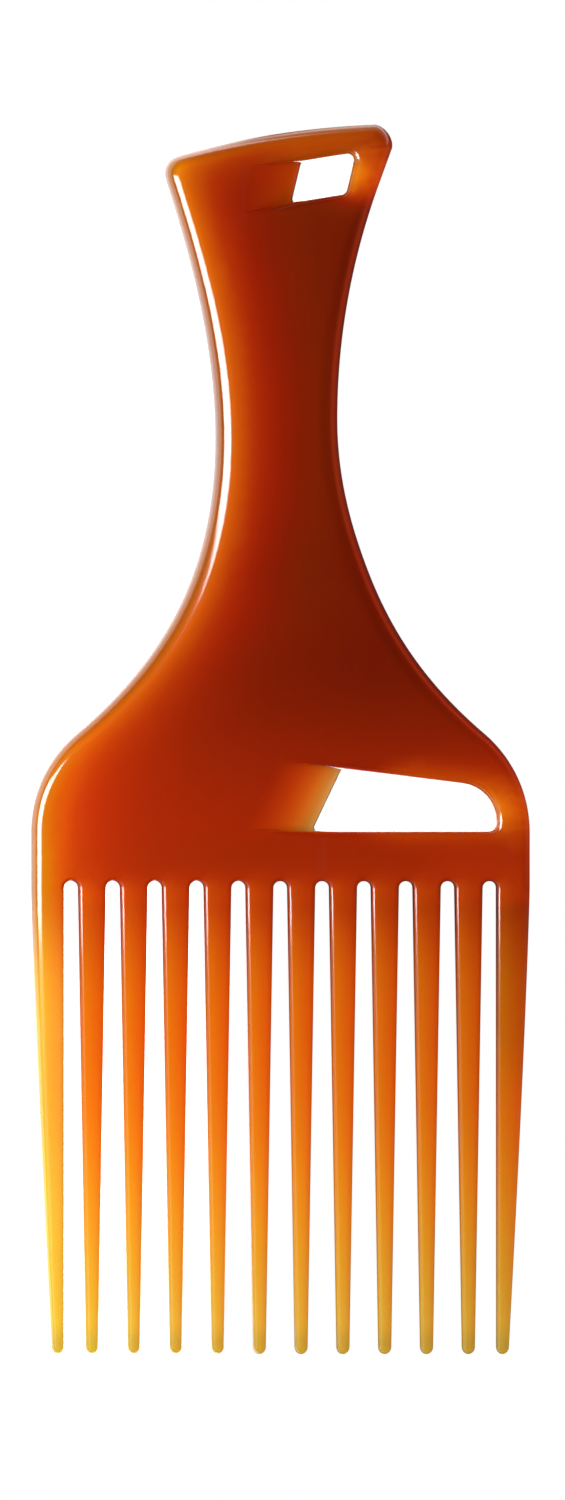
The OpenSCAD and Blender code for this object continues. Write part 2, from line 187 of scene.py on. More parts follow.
@dataclass
class Band(Stretch):
    """A stretch of the outline with its rounded edge.

    Attributes:
        outer: Points on the outline.
        inner: For each, the point where the rounding meets the flat face.
        wall: Half height of the straight wall at the outline.
        half: Half thickness where the rounding meets the face.
    """

    outer: Array
    inner: Array
    wall: Array
    half: Array

    @classmethod
    def of(cls, outer: Array, inner: Array, wall: Array, half: Array) -> "Band":
        """A band with one wall height and one thickness, or with one for each point."""
        n = len(outer)
        return cls(outer, inner, np.broadcast_to(wall, n) + 0.0, np.broadcast_to(half, n) + 0.0)

    def backwards(self) -> "Band":
        """The same band, which runs the other way."""
        return self.cut(None, None, -1)

    def ring(self, share: float, mid: float, face: Face) -> Array:
        """A line of points along the rounding.

        Args:
            share: Share of the rounding still to go: 1 on the outline and 0 at the flat face.
            mid: Height of the middle of the plate.
            face: The face that the rounding leads to.

        Returns:
            The points in space.
        """
        xy = self.inner + share * (self.outer - self.inner)
        rise = self.wall + (self.half - self.wall) * math.sqrt(max(0.0, 1 - share * share))
        return raised(xy, mid + face.value * rise)


class Skin:
    """Collects points and faces, and welds the points that coincide.

    Attributes:
        WELD: Points closer than about this are one point.
        SNAP: Distance in millimetres within which the filling of a face joins points.
        CREASE: Angle in degrees from which an edge between faces stays sharp.
    """

    WELD = 1e-7
    SNAP = 1e-6
    CREASE = 32

    def __init__(self) -> None:
        """Starts an empty skin."""
        self.points: list[Array] = []
        self.edges: list[float] = []
        self.faces: list[list[int]] = []
        self._seen: dict[tuple[int, ...], int] = {}

    def add(self, rows: Array, edge: Array = 0.0) -> list[int]:
        """Adds points, reusing those that are already there.

        Args:
            rows: The points.
            edge: How far round an edge they lie, one number or one for each: 0 on a flat face, 1 on a wall.

        Returns:
            The number of each point.
        """
        numbers = []
        for point, depth in zip(rows, np.broadcast_to(edge, len(rows))):
            key = tuple(int(round(c / self.WELD)) for c in point)
            if key not in self._seen:
                self._seen[key] = len(self.points)
                self.points.append(np.array(point))
                self.edges.append(depth)
            numbers.append(self._seen[key])
        return numbers

    def face(self, corners: list[int]) -> None:
        """Adds a face, without the corners that welding made the same."""
        kept = [c for i, c in enumerate(corners) if c != corners[i - 1]]
        if len(set(kept)) == len(kept) >= 3:
            self.faces.append(kept)

    def grid(self, rows: list[Array], edges: list[Array], closed: bool = False) -> None:
        """Adds four-sided faces between lines of points that follow each other.

        Args:
            rows: The lines, each with as many points.
            edges: How far round an edge each line lies.
            closed: Whether the last point of each line joins its first one.
        """
        numbers = [self.add(row, edge) for row, edge in zip(rows, edges)]
        for a, b in zip(numbers, numbers[1:]):
            for i in range(0 if closed else 1, len(a)):
                self.face([a[i - 1], a[i], b[i], b[i - 1]])

    def fill(self, loops: list[Array], seeds: Array, lines: Array) -> None:
        """Fills a flat face between its outline and its holes.

        Args:
            loops: Points round the face, then round each hole.
            seeds: Points inside the face, which keep its triangles small.
            lines: Pairs of outline points that an edge has to join.
        """
        numbers = [self.add(loop) for loop in loops]
        edges = {(a, b) for loop in numbers for a, b in zip(loop, loop[1:] + loop[:1]) if a != b}
        edges |= {tuple(self.add(pair)) for pair in lines}
        used = sorted({n for loop in numbers for n in loop} | set(self.add(seeds)))
        local = {n: i for i, n in enumerate(used)}
        plan = [Vector(self.points[n][:2] / MM) for n in used]
        links = [(local[a], local[b]) for a, b in edges]
        places, _, corners, origins, *_ = delaunay_2d_cdt(plan, links, [], 0, self.SNAP, True)
        places, corners = np.array([tuple(p) for p in places]), np.array(corners)
        inside = covered(places[corners].mean(axis=1), [loop[:, :2] / MM for loop in loops])
        lost = [tuple(places[i].round(3)) for i, origin in enumerate(origins) if not origin]
        if lost:
            raise ValueError(f"lines cross at {lost}")
        for triangle in corners[inside]:
            self.face([used[origins[c][0]] for c in triangle])

    def build(self, name: str, values: dict[str, Array]) -> bpy.types.Object:
        """Makes the mesh object, smooth except at true corners.

        Args:
            name: The object's name.
            values: Named numbers for the material, one for each point.

        Returns:
            The object, in the scene.
        """
        mesh = bpy.data.meshes.new(name)
        mesh.from_pydata([tuple(p) for p in self.points], [], self.faces)
        for key, value in values.items():
            mesh.attributes.new(key, "FLOAT", "POINT").data.foreach_set("value", value.astype(np.float32))
        work = bmesh.new()
        work.from_mesh(mesh)
        bmesh.ops.recalc_face_normals(work, faces=work.faces)
        open_edges = sum(not e.is_manifold for e in work.edges)
        LOG.info("%s: %d points, %d faces, %d open edges", name, len(work.verts), len(work.faces), open_edges)
        work.to_mesh(mesh)
        work.free()
        mesh.shade_smooth()
        mesh.set_sharp_from_angle(angle=math.radians(self.CREASE))
        obj = placed(name, mesh)
        weighted = obj.modifiers.new("even_flats", "WEIGHTED_NORMAL")
        weighted.keep_sharp = True
        return obj


@dataclass(frozen=True)
class Plate:
    """Thickness and edges that the handle, the palm and the crossbar share.

    A run is the width of a rounded edge in the plan, and a land the height of the straight wall that it
    leaves at the outline. A rim goes round an opening.
    """

    thick: float = 6.4 * MM
    edge_run: float = 3.8 * MM
    edge_land: float = 0.2 * MM
    head_run: float = 2.85 * MM
    palm_run: float = 2.1 * MM
    palm_land: float = 2.2 * MM
    rim_r: float = 1.5 * MM
    edge_steps: int = 10
    rim_steps: int = 6
    seed_gap: float = 1.6 * MM

    @property
    def mid(self) -> float:
        """Height of the middle of the plate."""
        return self.thick / 2

    @property
    def head_share(self) -> float:
        """Rounding of the head's edge as a share of its corners' radius."""
        return self.head_run / self.edge_run


@dataclass(frozen=True)
class Comb:
    """The crossbar and its row of teeth.

    The outer two are guard teeth, whose outer side comes in by guard_draw on its way to the tip, along a
    curve with the power guard_bow. tip_w and tip_t are a tooth's width and thickness where its round starts.
    """

    width: float = 77.2 * MM
    count: int = 12
    length: float = 73.2 * MM
    slot_w: float = 2.1 * MM
    guard_w: float = 5.2 * MM
    guard_draw: float = 3.2 * MM
    guard_bow: float = 1.2
    tip_w: float = 2.05 * MM
    tip_t: float = 2.2 * MM
    tip_round: float = 1.1 * MM
    edge: float = 0.85 * MM
    tip_edge_share: float = 0.9
    stations: int = 36
    arc_steps: int = 14
    tip_steps: int = 12

    @property
    def tooth_w(self) -> float:
        """Width of an inner tooth at its root."""
        return (self.width - 2 * self.guard_w - (self.count - 1) * self.slot_w) / (self.count - 2)

    @property
    def slots(self) -> Array:
        """X of the middle of each slot, from left to right."""
        first = self.guard_w + self.slot_w / 2 - self.width / 2
        return first + np.arange(self.count - 1) * (self.tooth_w + self.slot_w)


@dataclass(frozen=True)
class Flank:
    """One side of the handle: its distance from the axis and its lean in degrees at the nape, waist and head.

    The waist is waist_up above the slot tops and stands upright. A higher corner_power makes the corner of
    the head squarer.
    """

    nape: float
    nape_lean: float
    waist_up: float
    waist: float
    head: float
    head_lean: float
    corner_power: float


@dataclass(frozen=True)
class Handle:
    """The shoulders, the neck and the head, measured up from the slot tops and out from the axis.

    The sides go straight up by side_len, then round the shoulders and up to the nape. The crown is an arc
    whose centre lies to the right by crown_side. The rounded edge gets its full width over the share
    edge_grows of the way to the nape. A corner of the head has corner_ends steps on each side of its round.
    """

    side_len: float = 7.6 * MM
    shoulder_r: float = 20 * MM
    shoulder_turn: float = 49.5
    nape_up: float = 52.7 * MM
    head_up: float = 108 * MM
    crown_up: float = 117.15 * MM
    crown_r: float = 137 * MM
    crown_side: float = 20 * MM
    left: Flank = Flank(12.05 * MM, 14, 68.4 * MM, 10.2 * MM, 17.75 * MM, 18, 2.4)
    right: Flank = Flank(11.95 * MM, 18, 71.4 * MM, 8.85 * MM, 15.35 * MM, 20, 1.5)
    edge_grows: float = 0.75
    arc_steps: int = 30
    crown_steps: int = 34
    corner_steps: int = 14
    corner_ends: int = 3
    spacing: float = 1.0 * MM

    def flank(self, side: Side) -> Flank:
        """The sizes of one side."""
        return self.left if side is Side.LEFT else self.right


@dataclass(frozen=True)
class Outline:
    """The pick's whole outline, which runs clockwise seen from the front."""

    plate: Plate
    comb: Comb
    handle: Handle

    @property
    def root_y(self) -> float:
        """Height of the slot tops: the part is centred on its own length."""
        return (self.comb.length - self.handle.crown_up) / 2

    @property
    def tooth_y(self) -> float:
        """Height of the centres of the round slot tops, where the teeth start."""
        return self.root_y - self.comb.slot_w / 2

    @property
    def taper_end_y(self) -> float:
        """Height where a tooth's rounded end starts."""
        return self.root_y - self.comb.length + self.comb.tip_round

    @property
    def crown_centre(self) -> Array:
        """Centre of the crown's arc."""
        return np.array([self.handle.crown_side, self.root_y + self.handle.crown_up - self.handle.crown_r])

    def crown_y(self, x: float) -> float:
        """Height of the crown's arc at a place across the head."""
        centre = self.crown_centre
        return centre[1] + math.sqrt(self.handle.crown_r ** 2 - (x - centre[0]) ** 2)

    def edge_sizes(self, y: Array) -> tuple[Array, Array]:
        """Sizes of the rounded edge: tight at the palm, widest along the neck.

        Args:
            y: Heights.

        Returns:
            Width of the rounding and height of the wall at each.
        """
        plate, h = self.plate, self.handle
        up = y - self.root_y
        share, rest = (np.clip((up - a) / (b - a), 0, 1) for a, b in
                       ((h.side_len, h.side_len + h.edge_grows * h.nape_up), (h.right.waist_up, h.head_up)))
        share, rest = (s * s * (3 - 2 * s) for s in (share, rest))
        return (mix(mix(plate.palm_run, plate.edge_run, share), plate.head_run, rest),
                mix(plate.palm_land, plate.edge_land, share))

    def side_x(self, side: Side, y: float) -> float:
        """How far out one side of the outline is.

        Args:
            side: The side.
            y: The height.

        Returns:
            The distance from the axis.
        """
        h, f = self.handle, self.handle.flank(side)
        top = self.root_y + h.side_len
        turn = math.radians(h.shoulder_turn)
        corner = self.comb.width / 2 - h.shoulder_r
        flank = (top + h.shoulder_r * math.sin(turn), corner + h.shoulder_r * math.cos(turn), -math.tan(turn))
        nape = (self.root_y + h.nape_up, f.nape, -math.tan(math.radians(f.nape_lean)))
        waist = (self.root_y + f.waist_up, f.waist, 0.0)
        head = (self.root_y + h.head_up, f.head, math.tan(math.radians(f.head_lean)))
        if y < top:
            return self.comb.width / 2
        if y < flank[0]:
            return corner + math.sqrt(h.shoulder_r ** 2 - (y - top) ** 2)
        for start, end in ((flank, nape), (nape, waist), (waist, head)):
            if y < end[0]:
                return blend(y, start, end)
        return head[1] + head[2] * (y - head[0])

    def head_corner(self, side: Side) -> tuple[Array, Array]:
        """The point one rounding in from both a side of the head and the crown.

        Args:
            side: The side of the head.

        Returns:
            The point, and the direction out through the side.
        """
        h, f, run = self.handle, self.handle.flank(side), self.plate.edge_run
        lean = math.radians(f.head_lean)
        out = np.array([side.value * math.cos(lean), -math.sin(lean)])
        along = np.array([side.value * math.sin(lean), math.cos(lean)])
        start = np.array([side.value * f.head, self.root_y + h.head_up]) - run * out
        gap = start - self.crown_centre
        reach = -(gap @ along) + math.sqrt((gap @ along) ** 2 - gap @ gap + (h.crown_r - run) ** 2)
        return start + reach * along, out

    def side_band(self, side: Side) -> Band:
        """One side from the slot tops to the corner of the head.

        Args:
            side: The side.

        Returns:
            The band, going up.
        """
        h, run = self.handle, self.plate.edge_run
        corner, out = self.head_corner(side)
        top = self.root_y + h.side_len
        arc = top + h.shoulder_r * np.sin(np.radians(np.linspace(0, h.shoulder_turn, h.arc_steps + 1)))
        end = (corner + run * out)[1]
        upper = np.linspace(arc[-1], end, int((end - arc[-1]) / h.spacing))
        ys = np.concatenate([[self.root_y, (self.root_y + top) / 2], arc, upper[1:]])
        line = np.array([[side.value * self.side_x(side, y), y] for y in ys])
        travel = unit(np.gradient(line, axis=0, edge_order=2))
        runs, lands = self.edge_sizes(ys)
        inner = line - side.value * runs[:, None] * np.column_stack([travel[:, 1], -travel[:, 0]])
        inner[-1] = mix(line[-1], corner, self.plate.head_share)
        return Band.of(line, inner, lands / 2, self.plate.mid)

    def corner_band(self, side: Side) -> Band:
        """A corner of the head.

        Args:
            side: The side that it is on.

        Returns:
            The band, from the side to the crown.
        """
        power = 2 / self.handle.flank(side).corner_power
        run, centre, crown_r = self.plate.edge_run, self.crown_centre, self.handle.crown_r
        corner, out = self.head_corner(side)
        up = unit(corner - centre)
        across = side.value * np.array([up[1], -up[0]])
        along = side.value * np.array([-out[1], out[0]])
        across, along = run * across / (across @ out), run * along / (along @ up)
        share = np.linspace(0, 1, self.handle.corner_ends + 1)[1:, None]
        side_end = mix(corner + run * out, corner + across, share[:-1])
        turn = [corner + c ** power * across + s ** power * along
                for s, c in quarter(self.handle.corner_steps)]
        crown_end = centre + crown_r * unit(mix(corner + along, corner + run * up, share) - centre)
        outer = np.concatenate([[corner + run * out], side_end, turn, crown_end])
        inner = mix(outer, corner, self.plate.head_share)
        return Band.of(outer, inner, self.plate.edge_land / 2, self.plate.mid)

    def crown_band(self) -> Band:
        """The crown's arc.

        Returns:
            The band between both corners, going right.
        """
        h, centre = self.handle, self.crown_centre
        ends = [self.head_corner(side)[0] - centre for side in Side]
        turns = np.linspace(*(math.degrees(math.atan2(y, x)) for x, y in ends), h.crown_steps + 1)
        outer = centre + h.crown_r * towards(turns)
        inner = centre + (h.crown_r - self.plate.head_run) * towards(turns)
        return Band.of(outer, inner, self.plate.edge_land / 2, self.plate.mid)

    def tooth_edge(self, x: Array, run: Array, wall: Array, down: bool) -> Band:
        """One long side of a tooth.

        Args:
            x: Place of the side at each station from the root to the tip.
            run: Width of its rounding at each.
            wall: Half height of its straight wall at each.
            down: Whether the outline runs down this side, which is then the tooth's right one.

        Returns:
            The band, in the outline's direction of travel.
        """
        s = np.linspace(0, 1, self.comb.stations)
        y = mix(self.tooth_y, self.taper_end_y, s)
        half = mix(self.plate.thick, self.comb.tip_t, s) / 2
        band = Band(np.column_stack([x, y]), np.column_stack([x - run if down else x + run, y]), wall, half)
        return band if down else band.backwards()

    def tip(self, right: Band, left: Band) -> Band:
        """The rounded end of a tooth.

        Args:
            right: The tooth's right side.
            left: Its left side.

        Returns:
            The band from the right side to the left one.
        """
        turn = np.linspace(0, math.pi, self.comb.tip_steps + 1)[1:-1]
        run = (right.outer[-1, 0] - right.inner[-1, 0] + left.inner[0, 0] - left.outer[0, 0]) / 2

        def arc(a: Array, b: Array, depth: float) -> Array:
            """Half an ellipse from a to b that bulges down by depth."""
            return np.column_stack([(a[0] + b[0]) / 2 + (a[0] - b[0]) / 2 * np.cos(turn),
                                    a[1] - depth * np.sin(turn)])

        wall = mix(right.wall[-1], left.wall[0], turn / math.pi)
        return Band.of(arc(right.outer[-1], left.outer[0], self.comb.tip_round),
                       arc(right.inner[-1], left.inner[0], self.comb.tip_round - run), wall, right.half[-1])

    def slot_arc(self, x: float) -> Band:
        """The round top of a slot.

        Args:
            x: Its middle.

        Returns:
            The band from its right to its left.
        """
        r, centre = self.comb.slot_w / 2, np.array([x, self.tooth_y])
        ring = towards(np.linspace(0, 180, self.comb.arc_steps + 1)[1:-1])
        return Band.of(centre + r * ring, centre + (r + self.comb.edge) * ring,
                       self.plate.mid - self.comb.edge, self.plate.mid)

    def teeth(self) -> Band:
        """All teeth and slot tops.

        Returns:
            The band from the right guard tooth to the left one.
        """
        c, plate = self.comb, self.plate
        s = np.linspace(0, 1, c.stations)
        edge = mix(c.edge, c.tip_w / 2 * c.tip_edge_share, s)
        wall = mix(plate.thick, c.tip_t, s) / 2 - edge
        guard_edge = mix(plate.palm_run, c.tip_w / 2, s)
        land = mix(plate.palm_land, plate.edge_land, s) / 2
        inside = np.full(c.stations, c.width / 2 - c.guard_w)
        guard = inside + c.guard_w - c.guard_draw * s ** c.guard_bow
        width = mix(c.tooth_w, c.tip_w, s) / 2
        middles = ((c.slots[1:] + c.slots[:-1]) / 2)[::-1]
        sides = [((guard, guard_edge, land), (inside, edge, wall)),
                 *(((x + width, edge, wall), (x - width, edge, wall)) for x in middles),
                 ((-inside, edge, wall), (-guard, guard_edge, land))]
        bands = []
        for i, (right_side, left_side) in enumerate(sides):
            right, left = self.tooth_edge(*right_side, True), self.tooth_edge(*left_side, False)
            bands += [right, self.tip(right, left), left]
            if i < len(c.slots):
                bands.append(self.slot_arc(c.slots[::-1][i]))
        return Band.joined(bands)

    def band(self) -> Band:
        """The whole closed outline."""
        return Band.joined([self.side_band(Side.LEFT), self.corner_band(Side.LEFT), self.crown_band(),
                            self.corner_band(Side.RIGHT).backwards(), self.side_band(Side.RIGHT).backwards(),
                            self.teeth()])


@dataclass
class Rim(Stretch):
    """Points round an opening or along a scoop, which can be moved out of it.

    Attributes:
        centre: Centre of the round that each point lies on.
        radius: Radius of that round.
        out: Direction out of the opening at each point.
    """

    centre: Array
    radius: Array
    out: Array

    @classmethod
    def line(cls, points: Array, out: Array) -> "Rim":
        """A straight stretch with a direction out at each point."""
        return cls(points, np.zeros(len(points)), unit(out))

    def at(self, growth: Array) -> Array:
        """The points, moved out by one growth or by one each."""
        return self.centre + (self.radius + growth)[:, None] * self.out


@dataclass(frozen=True)
class Opening:
    """An opening through the plate, with a thumb scoop on its left.

    Attributes:
        corners: Lower left, lower right, upper right and upper left corner.
        radii: Rounding of each corner in the plan.
        scoop_len: Length of the scoop.
        scoop_spread: Angle by which each side of the scoop spreads away from the opening.
        plate: The plate that it goes through.
        scoop_glow: How much of its thinness shows in the scoop's colour.
        rim_edge: How far round an edge the rims count as, for the painted shade of the edges in the colour.
        scoop_floor: Thickness left under the deepest part of the scoop.
        lip_r: Rounding of the lip between the scoop and the opening.
        wall_share: Share of a scoop wall's height that its rounding may take up.
        ramp_power: Power of the scoop's slope: 1 is straight, more is dished.
        flat_left: Least width of flat face between a rim and the rounded edge of the plate.
        area_growth: Size of the scoop's area for the colour, as a share of its plan.
    """

    corners: Array
    radii: tuple[float, ...]
    scoop_len: float
    scoop_spread: float
    plate: Plate
    scoop_glow: float = 1.0
    rim_edge: float = 0.74
    scoop_floor: float = 0.8 * MM
    arc_steps: int = 8
    edge_steps: int = 14
    ramp_steps: int = 14
    lip_r: float = 0.22 * MM
    lip_steps: int = 3
    wall_share: float = 0.6
    ramp_power: float = 1.7
    flat_left: float = 0.12 * MM
    area_growth: float = 1.02

    def centre(self, i: int) -> Array:
        """Centre of the round of one corner."""
        p = self.corners[i]
        a, b = unit(self.corners[i - 1] - p), unit(self.corners[(i + 1) % 4] - p)
        return p + unit(a + b) * self.radii[i] / math.sin(math.acos(float(a @ b)) / 2)

    def heading(self, i: int) -> float:
        """Heading out of the opening across the edge that follows a corner, in degrees."""
        v = self.corners[(i + 1) % 4] - self.corners[i]
        return math.degrees(math.atan2(-v[0], v[1]))

    def corner_rim(self, i: int) -> Rim:
        """The round of one corner.

        Args:
            i: The corner's number.

        Returns:
            The rim, with both of its ends.
        """
        start = self.heading(i - 1)
        turn = (self.heading(i) - start) % 360
        out = towards(start + turn * np.linspace(0, 1, self.arc_steps + 1))
        return Rim(np.broadcast_to(self.centre(i), out.shape), np.full(len(out), self.radii[i]), out)

    def edge_rim(self, i: int) -> Rim:
        """The edge between a corner and the next.

        Args:
            i: The first corner's number.

        Returns:
            The rim, without its ends.
        """
        s = np.linspace(0, 1, self.edge_steps + 1)[1:-1]
        after = (i + 1) % 4
        centres = mix(self.centre(i), self.centre(after), s[:, None])
        out = np.broadcast_to(towards(self.heading(i)), centres.shape)
        return Rim(centres, mix(self.radii[i], self.radii[after], s), out)

    def depth(self, xy: Array) -> Array:
        """Depth of the scoop's floor.

        Args:
            xy: Points of the plan.

        Returns:
            The depth below the front face at each.
        """
        low, out = self.centre(0), towards(self.heading(3))
        ramp = (self.scoop_start()[0] - low) @ out
        s = np.clip((xy - low) @ out / ramp, -1, 1)
        return (self.plate.thick - self.scoop_floor) * (1 - s) ** self.ramp_power

    def scoop_start(self) -> tuple[Array, Array]:
        """The line where the scoop starts.

        Returns:
            Its lower and its upper end.
        """
        out = towards(self.heading(3))
        flat = turned(unit(self.corners[0] - self.corners[1]), self.scoop_spread)
        fall = turned(unit(self.corners[3] - self.corners[2]), -self.scoop_spread)
        low = self.corner_rim(0).at(0.0)[-1]
        high = self.corner_rim(3).at(0.0)[0]
        far = (self.centre(0) + self.scoop_len * flat) @ out
        return low + flat * (far - low @ out) / (flat @ out), high + fall * (far - high @ out) / (fall @ out)

    def bore(self) -> Array:
        """The closed loop round the opening."""
        rims = [part for i in (1, 2, 3, 0) for part in (self.corner_rim(i), self.edge_rim(i))]
        return Rim.joined(rims).at(0.0)

    def scoop_area(self) -> Array:
        """The scoop's plan, a little outside its walls.

        Returns:
            Its corners.
        """
        ends = self.corner_rim(0).at(0.0)[-1], self.corner_rim(3).at(0.0)[0]
        corners = np.array([*self.scoop_start()[::-1], *ends])
        middle = corners.mean(axis=0)
        return middle + (corners - middle) * self.area_growth

    def cut(self, skin: Skin, flat: Array) -> tuple[Array, Array]:
        """Adds the walls, rims and scoop.

        Args:
            skin: The skin that they are added to.
            flat: Outline of the flat faces, which the rims stay inside.

        Returns:
            The loops where they meet the front face and the back face.
        """
        t, full = self.plate.thick, self.plate.thick - self.scoop_floor
        turns = quarter(self.plate.rim_steps)
        first, last = self.corner_rim(0), self.corner_rim(3)
        bore = Rim.joined([first.cut(-1, None), self.edge_rim(0), self.corner_rim(1), self.edge_rim(1),
                           self.corner_rim(2), self.edge_rim(2), last.cut(0, 1)])
        lip = Rim.joined([last, self.edge_rim(3), first])
        line, brink = bore.at(0.0), lip.at(0.0)

        # The scoop's side walls, and their rounded rims together with the opening's.
        (start_low, start_high), end_low, end_high = self.scoop_start(), line[0], line[-1]
        low_out, high_out = (-turned(unit(b - a), 90)
                             for a, b in ((start_low, end_low), (end_high, start_high)))
        share = np.linspace(0, 1, self.ramp_steps + 1)[:, None]
        low_wall = Rim.line(mix(start_low, end_low, share), mix(low_out, bore.out[0], share))
        high_wall = Rim.line(mix(end_high, start_high, share), mix(bore.out[-1], high_out, share))
        low_deep, high_deep = self.depth(low_wall.centre), self.depth(high_wall.centre)
        deep = np.concatenate([low_deep, np.full(len(line), full), high_deep])
        path = Rim.joined([low_wall, bore, high_wall])
        top_r = np.minimum(self.plate.rim_r, deep * self.wall_share)
        top_r = np.minimum(top_r, clearance(path.at(0.0), flat) - self.flat_left)
        bottom = t - self.depth(brink)[[-1, 0]]
        ends = [bottom[i] + np.linalg.norm(line - line[i], axis=1) for i in (0, -1)]
        bore_r = np.minimum(self.plate.rim_r, np.minimum(*ends))
        foot = np.concatenate([t - low_deep, bore_r, t - high_deep])
        rows = [raised(path.at(top_r * (1 - s)), t - top_r * (1 - c)) for s, c in turns]
        # Edge values for the painted shade along the rims, less where the scoop wall is shallow.
        dark = self.rim_edge * (deep / full)
        skin.grid(rows + [raised(path.at(0.0), foot)], [dark * s for s, _ in turns] + [dark])

        # The scoop's floor and its lip.
        reach = np.minimum(*(np.linalg.norm(brink - end, axis=1) for end in (end_high, end_low)))
        lip_r = np.minimum(self.lip_r, reach / 2)
        edge = lip.at(lip_r)
        lip_top = t - self.depth(edge)
        begin = mix(start_high, start_low, np.linspace(0, 1, len(edge))[:, None])
        ramp = [raised(plan, t - self.depth(plan)) for plan in (mix(begin, edge, s) for s in share)]
        rounds = [raised(lip.at(lip_r * (1 - s)), lip_top - lip_r * (1 - c))
                  for s, c in quarter(self.lip_steps)]
        skin.grid(ramp + rounds[1:], [0.0] * len(ramp) + [1.0] * (len(rounds) - 1))

        # The wall and rim at the back.
        ring = Rim.joined([bore.cut(0, -1), lip.cut(0, -1)])
        ring_r = np.concatenate([bore_r[:-1], (lip_top - lip_r)[:-1]])
        side_r = np.minimum(ring_r, clearance(ring.at(0.0), flat) - self.flat_left)
        below = [raised(ring.at(side_r * (1 - c)), ring_r * (1 - s)) for s, c in turns]
        skin.grid(below, [self.rim_edge * c for _, c in turns], closed=True)
        return np.concatenate([rows[0], ramp[0][1:-1]]), below[-1]


@dataclass(frozen=True)
class HangSizes:
    """Sizes of the hang opening in the head.

    The opening tilts up to the right and leans to the right, both in degrees. post_w and rail_w are the
    plastic that is left to its right and over it, and scoop_glow is as in Opening.
    """

    width: float = 8.4 * MM
    height: float = 6.2 * MM
    post_w: float = 5.3 * MM
    rail_w: float = 4.35 * MM
    tilt: float = 9.2
    lean: float = 13.5
    corner: float = 0.9 * MM
    scoop_len: float = 8.7 * MM
    scoop_spread: float = 5.0
    scoop_corner: float = 0.5 * MM
    scoop_glow: float = 0.42

    def opening(self, outline: Outline) -> Opening:
        """Places the opening from the head's right side and from the crown.

        Args:
            outline: The pick's outline.

        Returns:
            The opening.
        """
        tilt, lean = math.radians(self.tilt), math.radians(self.lean)
        run, shift = self.width * math.cos(tilt), self.height * math.tan(lean)
        side = outline.handle.right.head - self.post_w - run
        top = outline.crown_y(side + shift + run) - self.rail_w
        rise = run * math.tan(tilt)
        low = top - self.height - rise
        corners = np.array([[side, low], [side + run, low + rise], [side + run + shift, top],
                            [side + shift, top - rise]])
        radii = (self.scoop_corner, self.corner, self.corner, self.scoop_corner)
        return Opening(corners, radii, self.scoop_len, self.scoop_spread, outline.plate, self.scoop_glow)


@dataclass(frozen=True)
class FingerSizes:
    """Sizes of the finger opening above the crossbar.

    Its left side leans to the right and its top falls to the right, both in degrees. left is the X of its
    lower left corner, post_w the plastic to its right, and bend the round of its upper right corner.
    """

    left: float = 5 * MM
    post_w: float = 5.3 * MM
    height: float = 9.5 * MM
    lean: float = 25.5
    fall: float = 7.0
    bend: float = 5.8 * MM
    corner: float = 1.2 * MM
    scoop_len: float = 11.2 * MM
    scoop_corner: float = 0.5 * MM
    crossbar_w: float = 7.8 * MM

    def opening(self, outline: Outline) -> Opening:
        """Places the opening above the crossbar.

        Args:
            outline: The pick's outline.

        Returns:
            The opening.
        """
        low = outline.root_y + self.crossbar_w
        right = outline.comb.width / 2 - self.post_w
        top_x = self.left + self.height * math.tan(math.radians(self.lean))
        corners = np.array([[self.left, low], [right, low],
                            [right, low + self.height - (right - top_x) * math.tan(math.radians(self.fall))],
                            [top_x, low + self.height]])
        radii = (self.scoop_corner, self.corner, self.bend, self.scoop_corner)
        return Opening(corners, radii, self.scoop_len, 0.0, outline.plate)


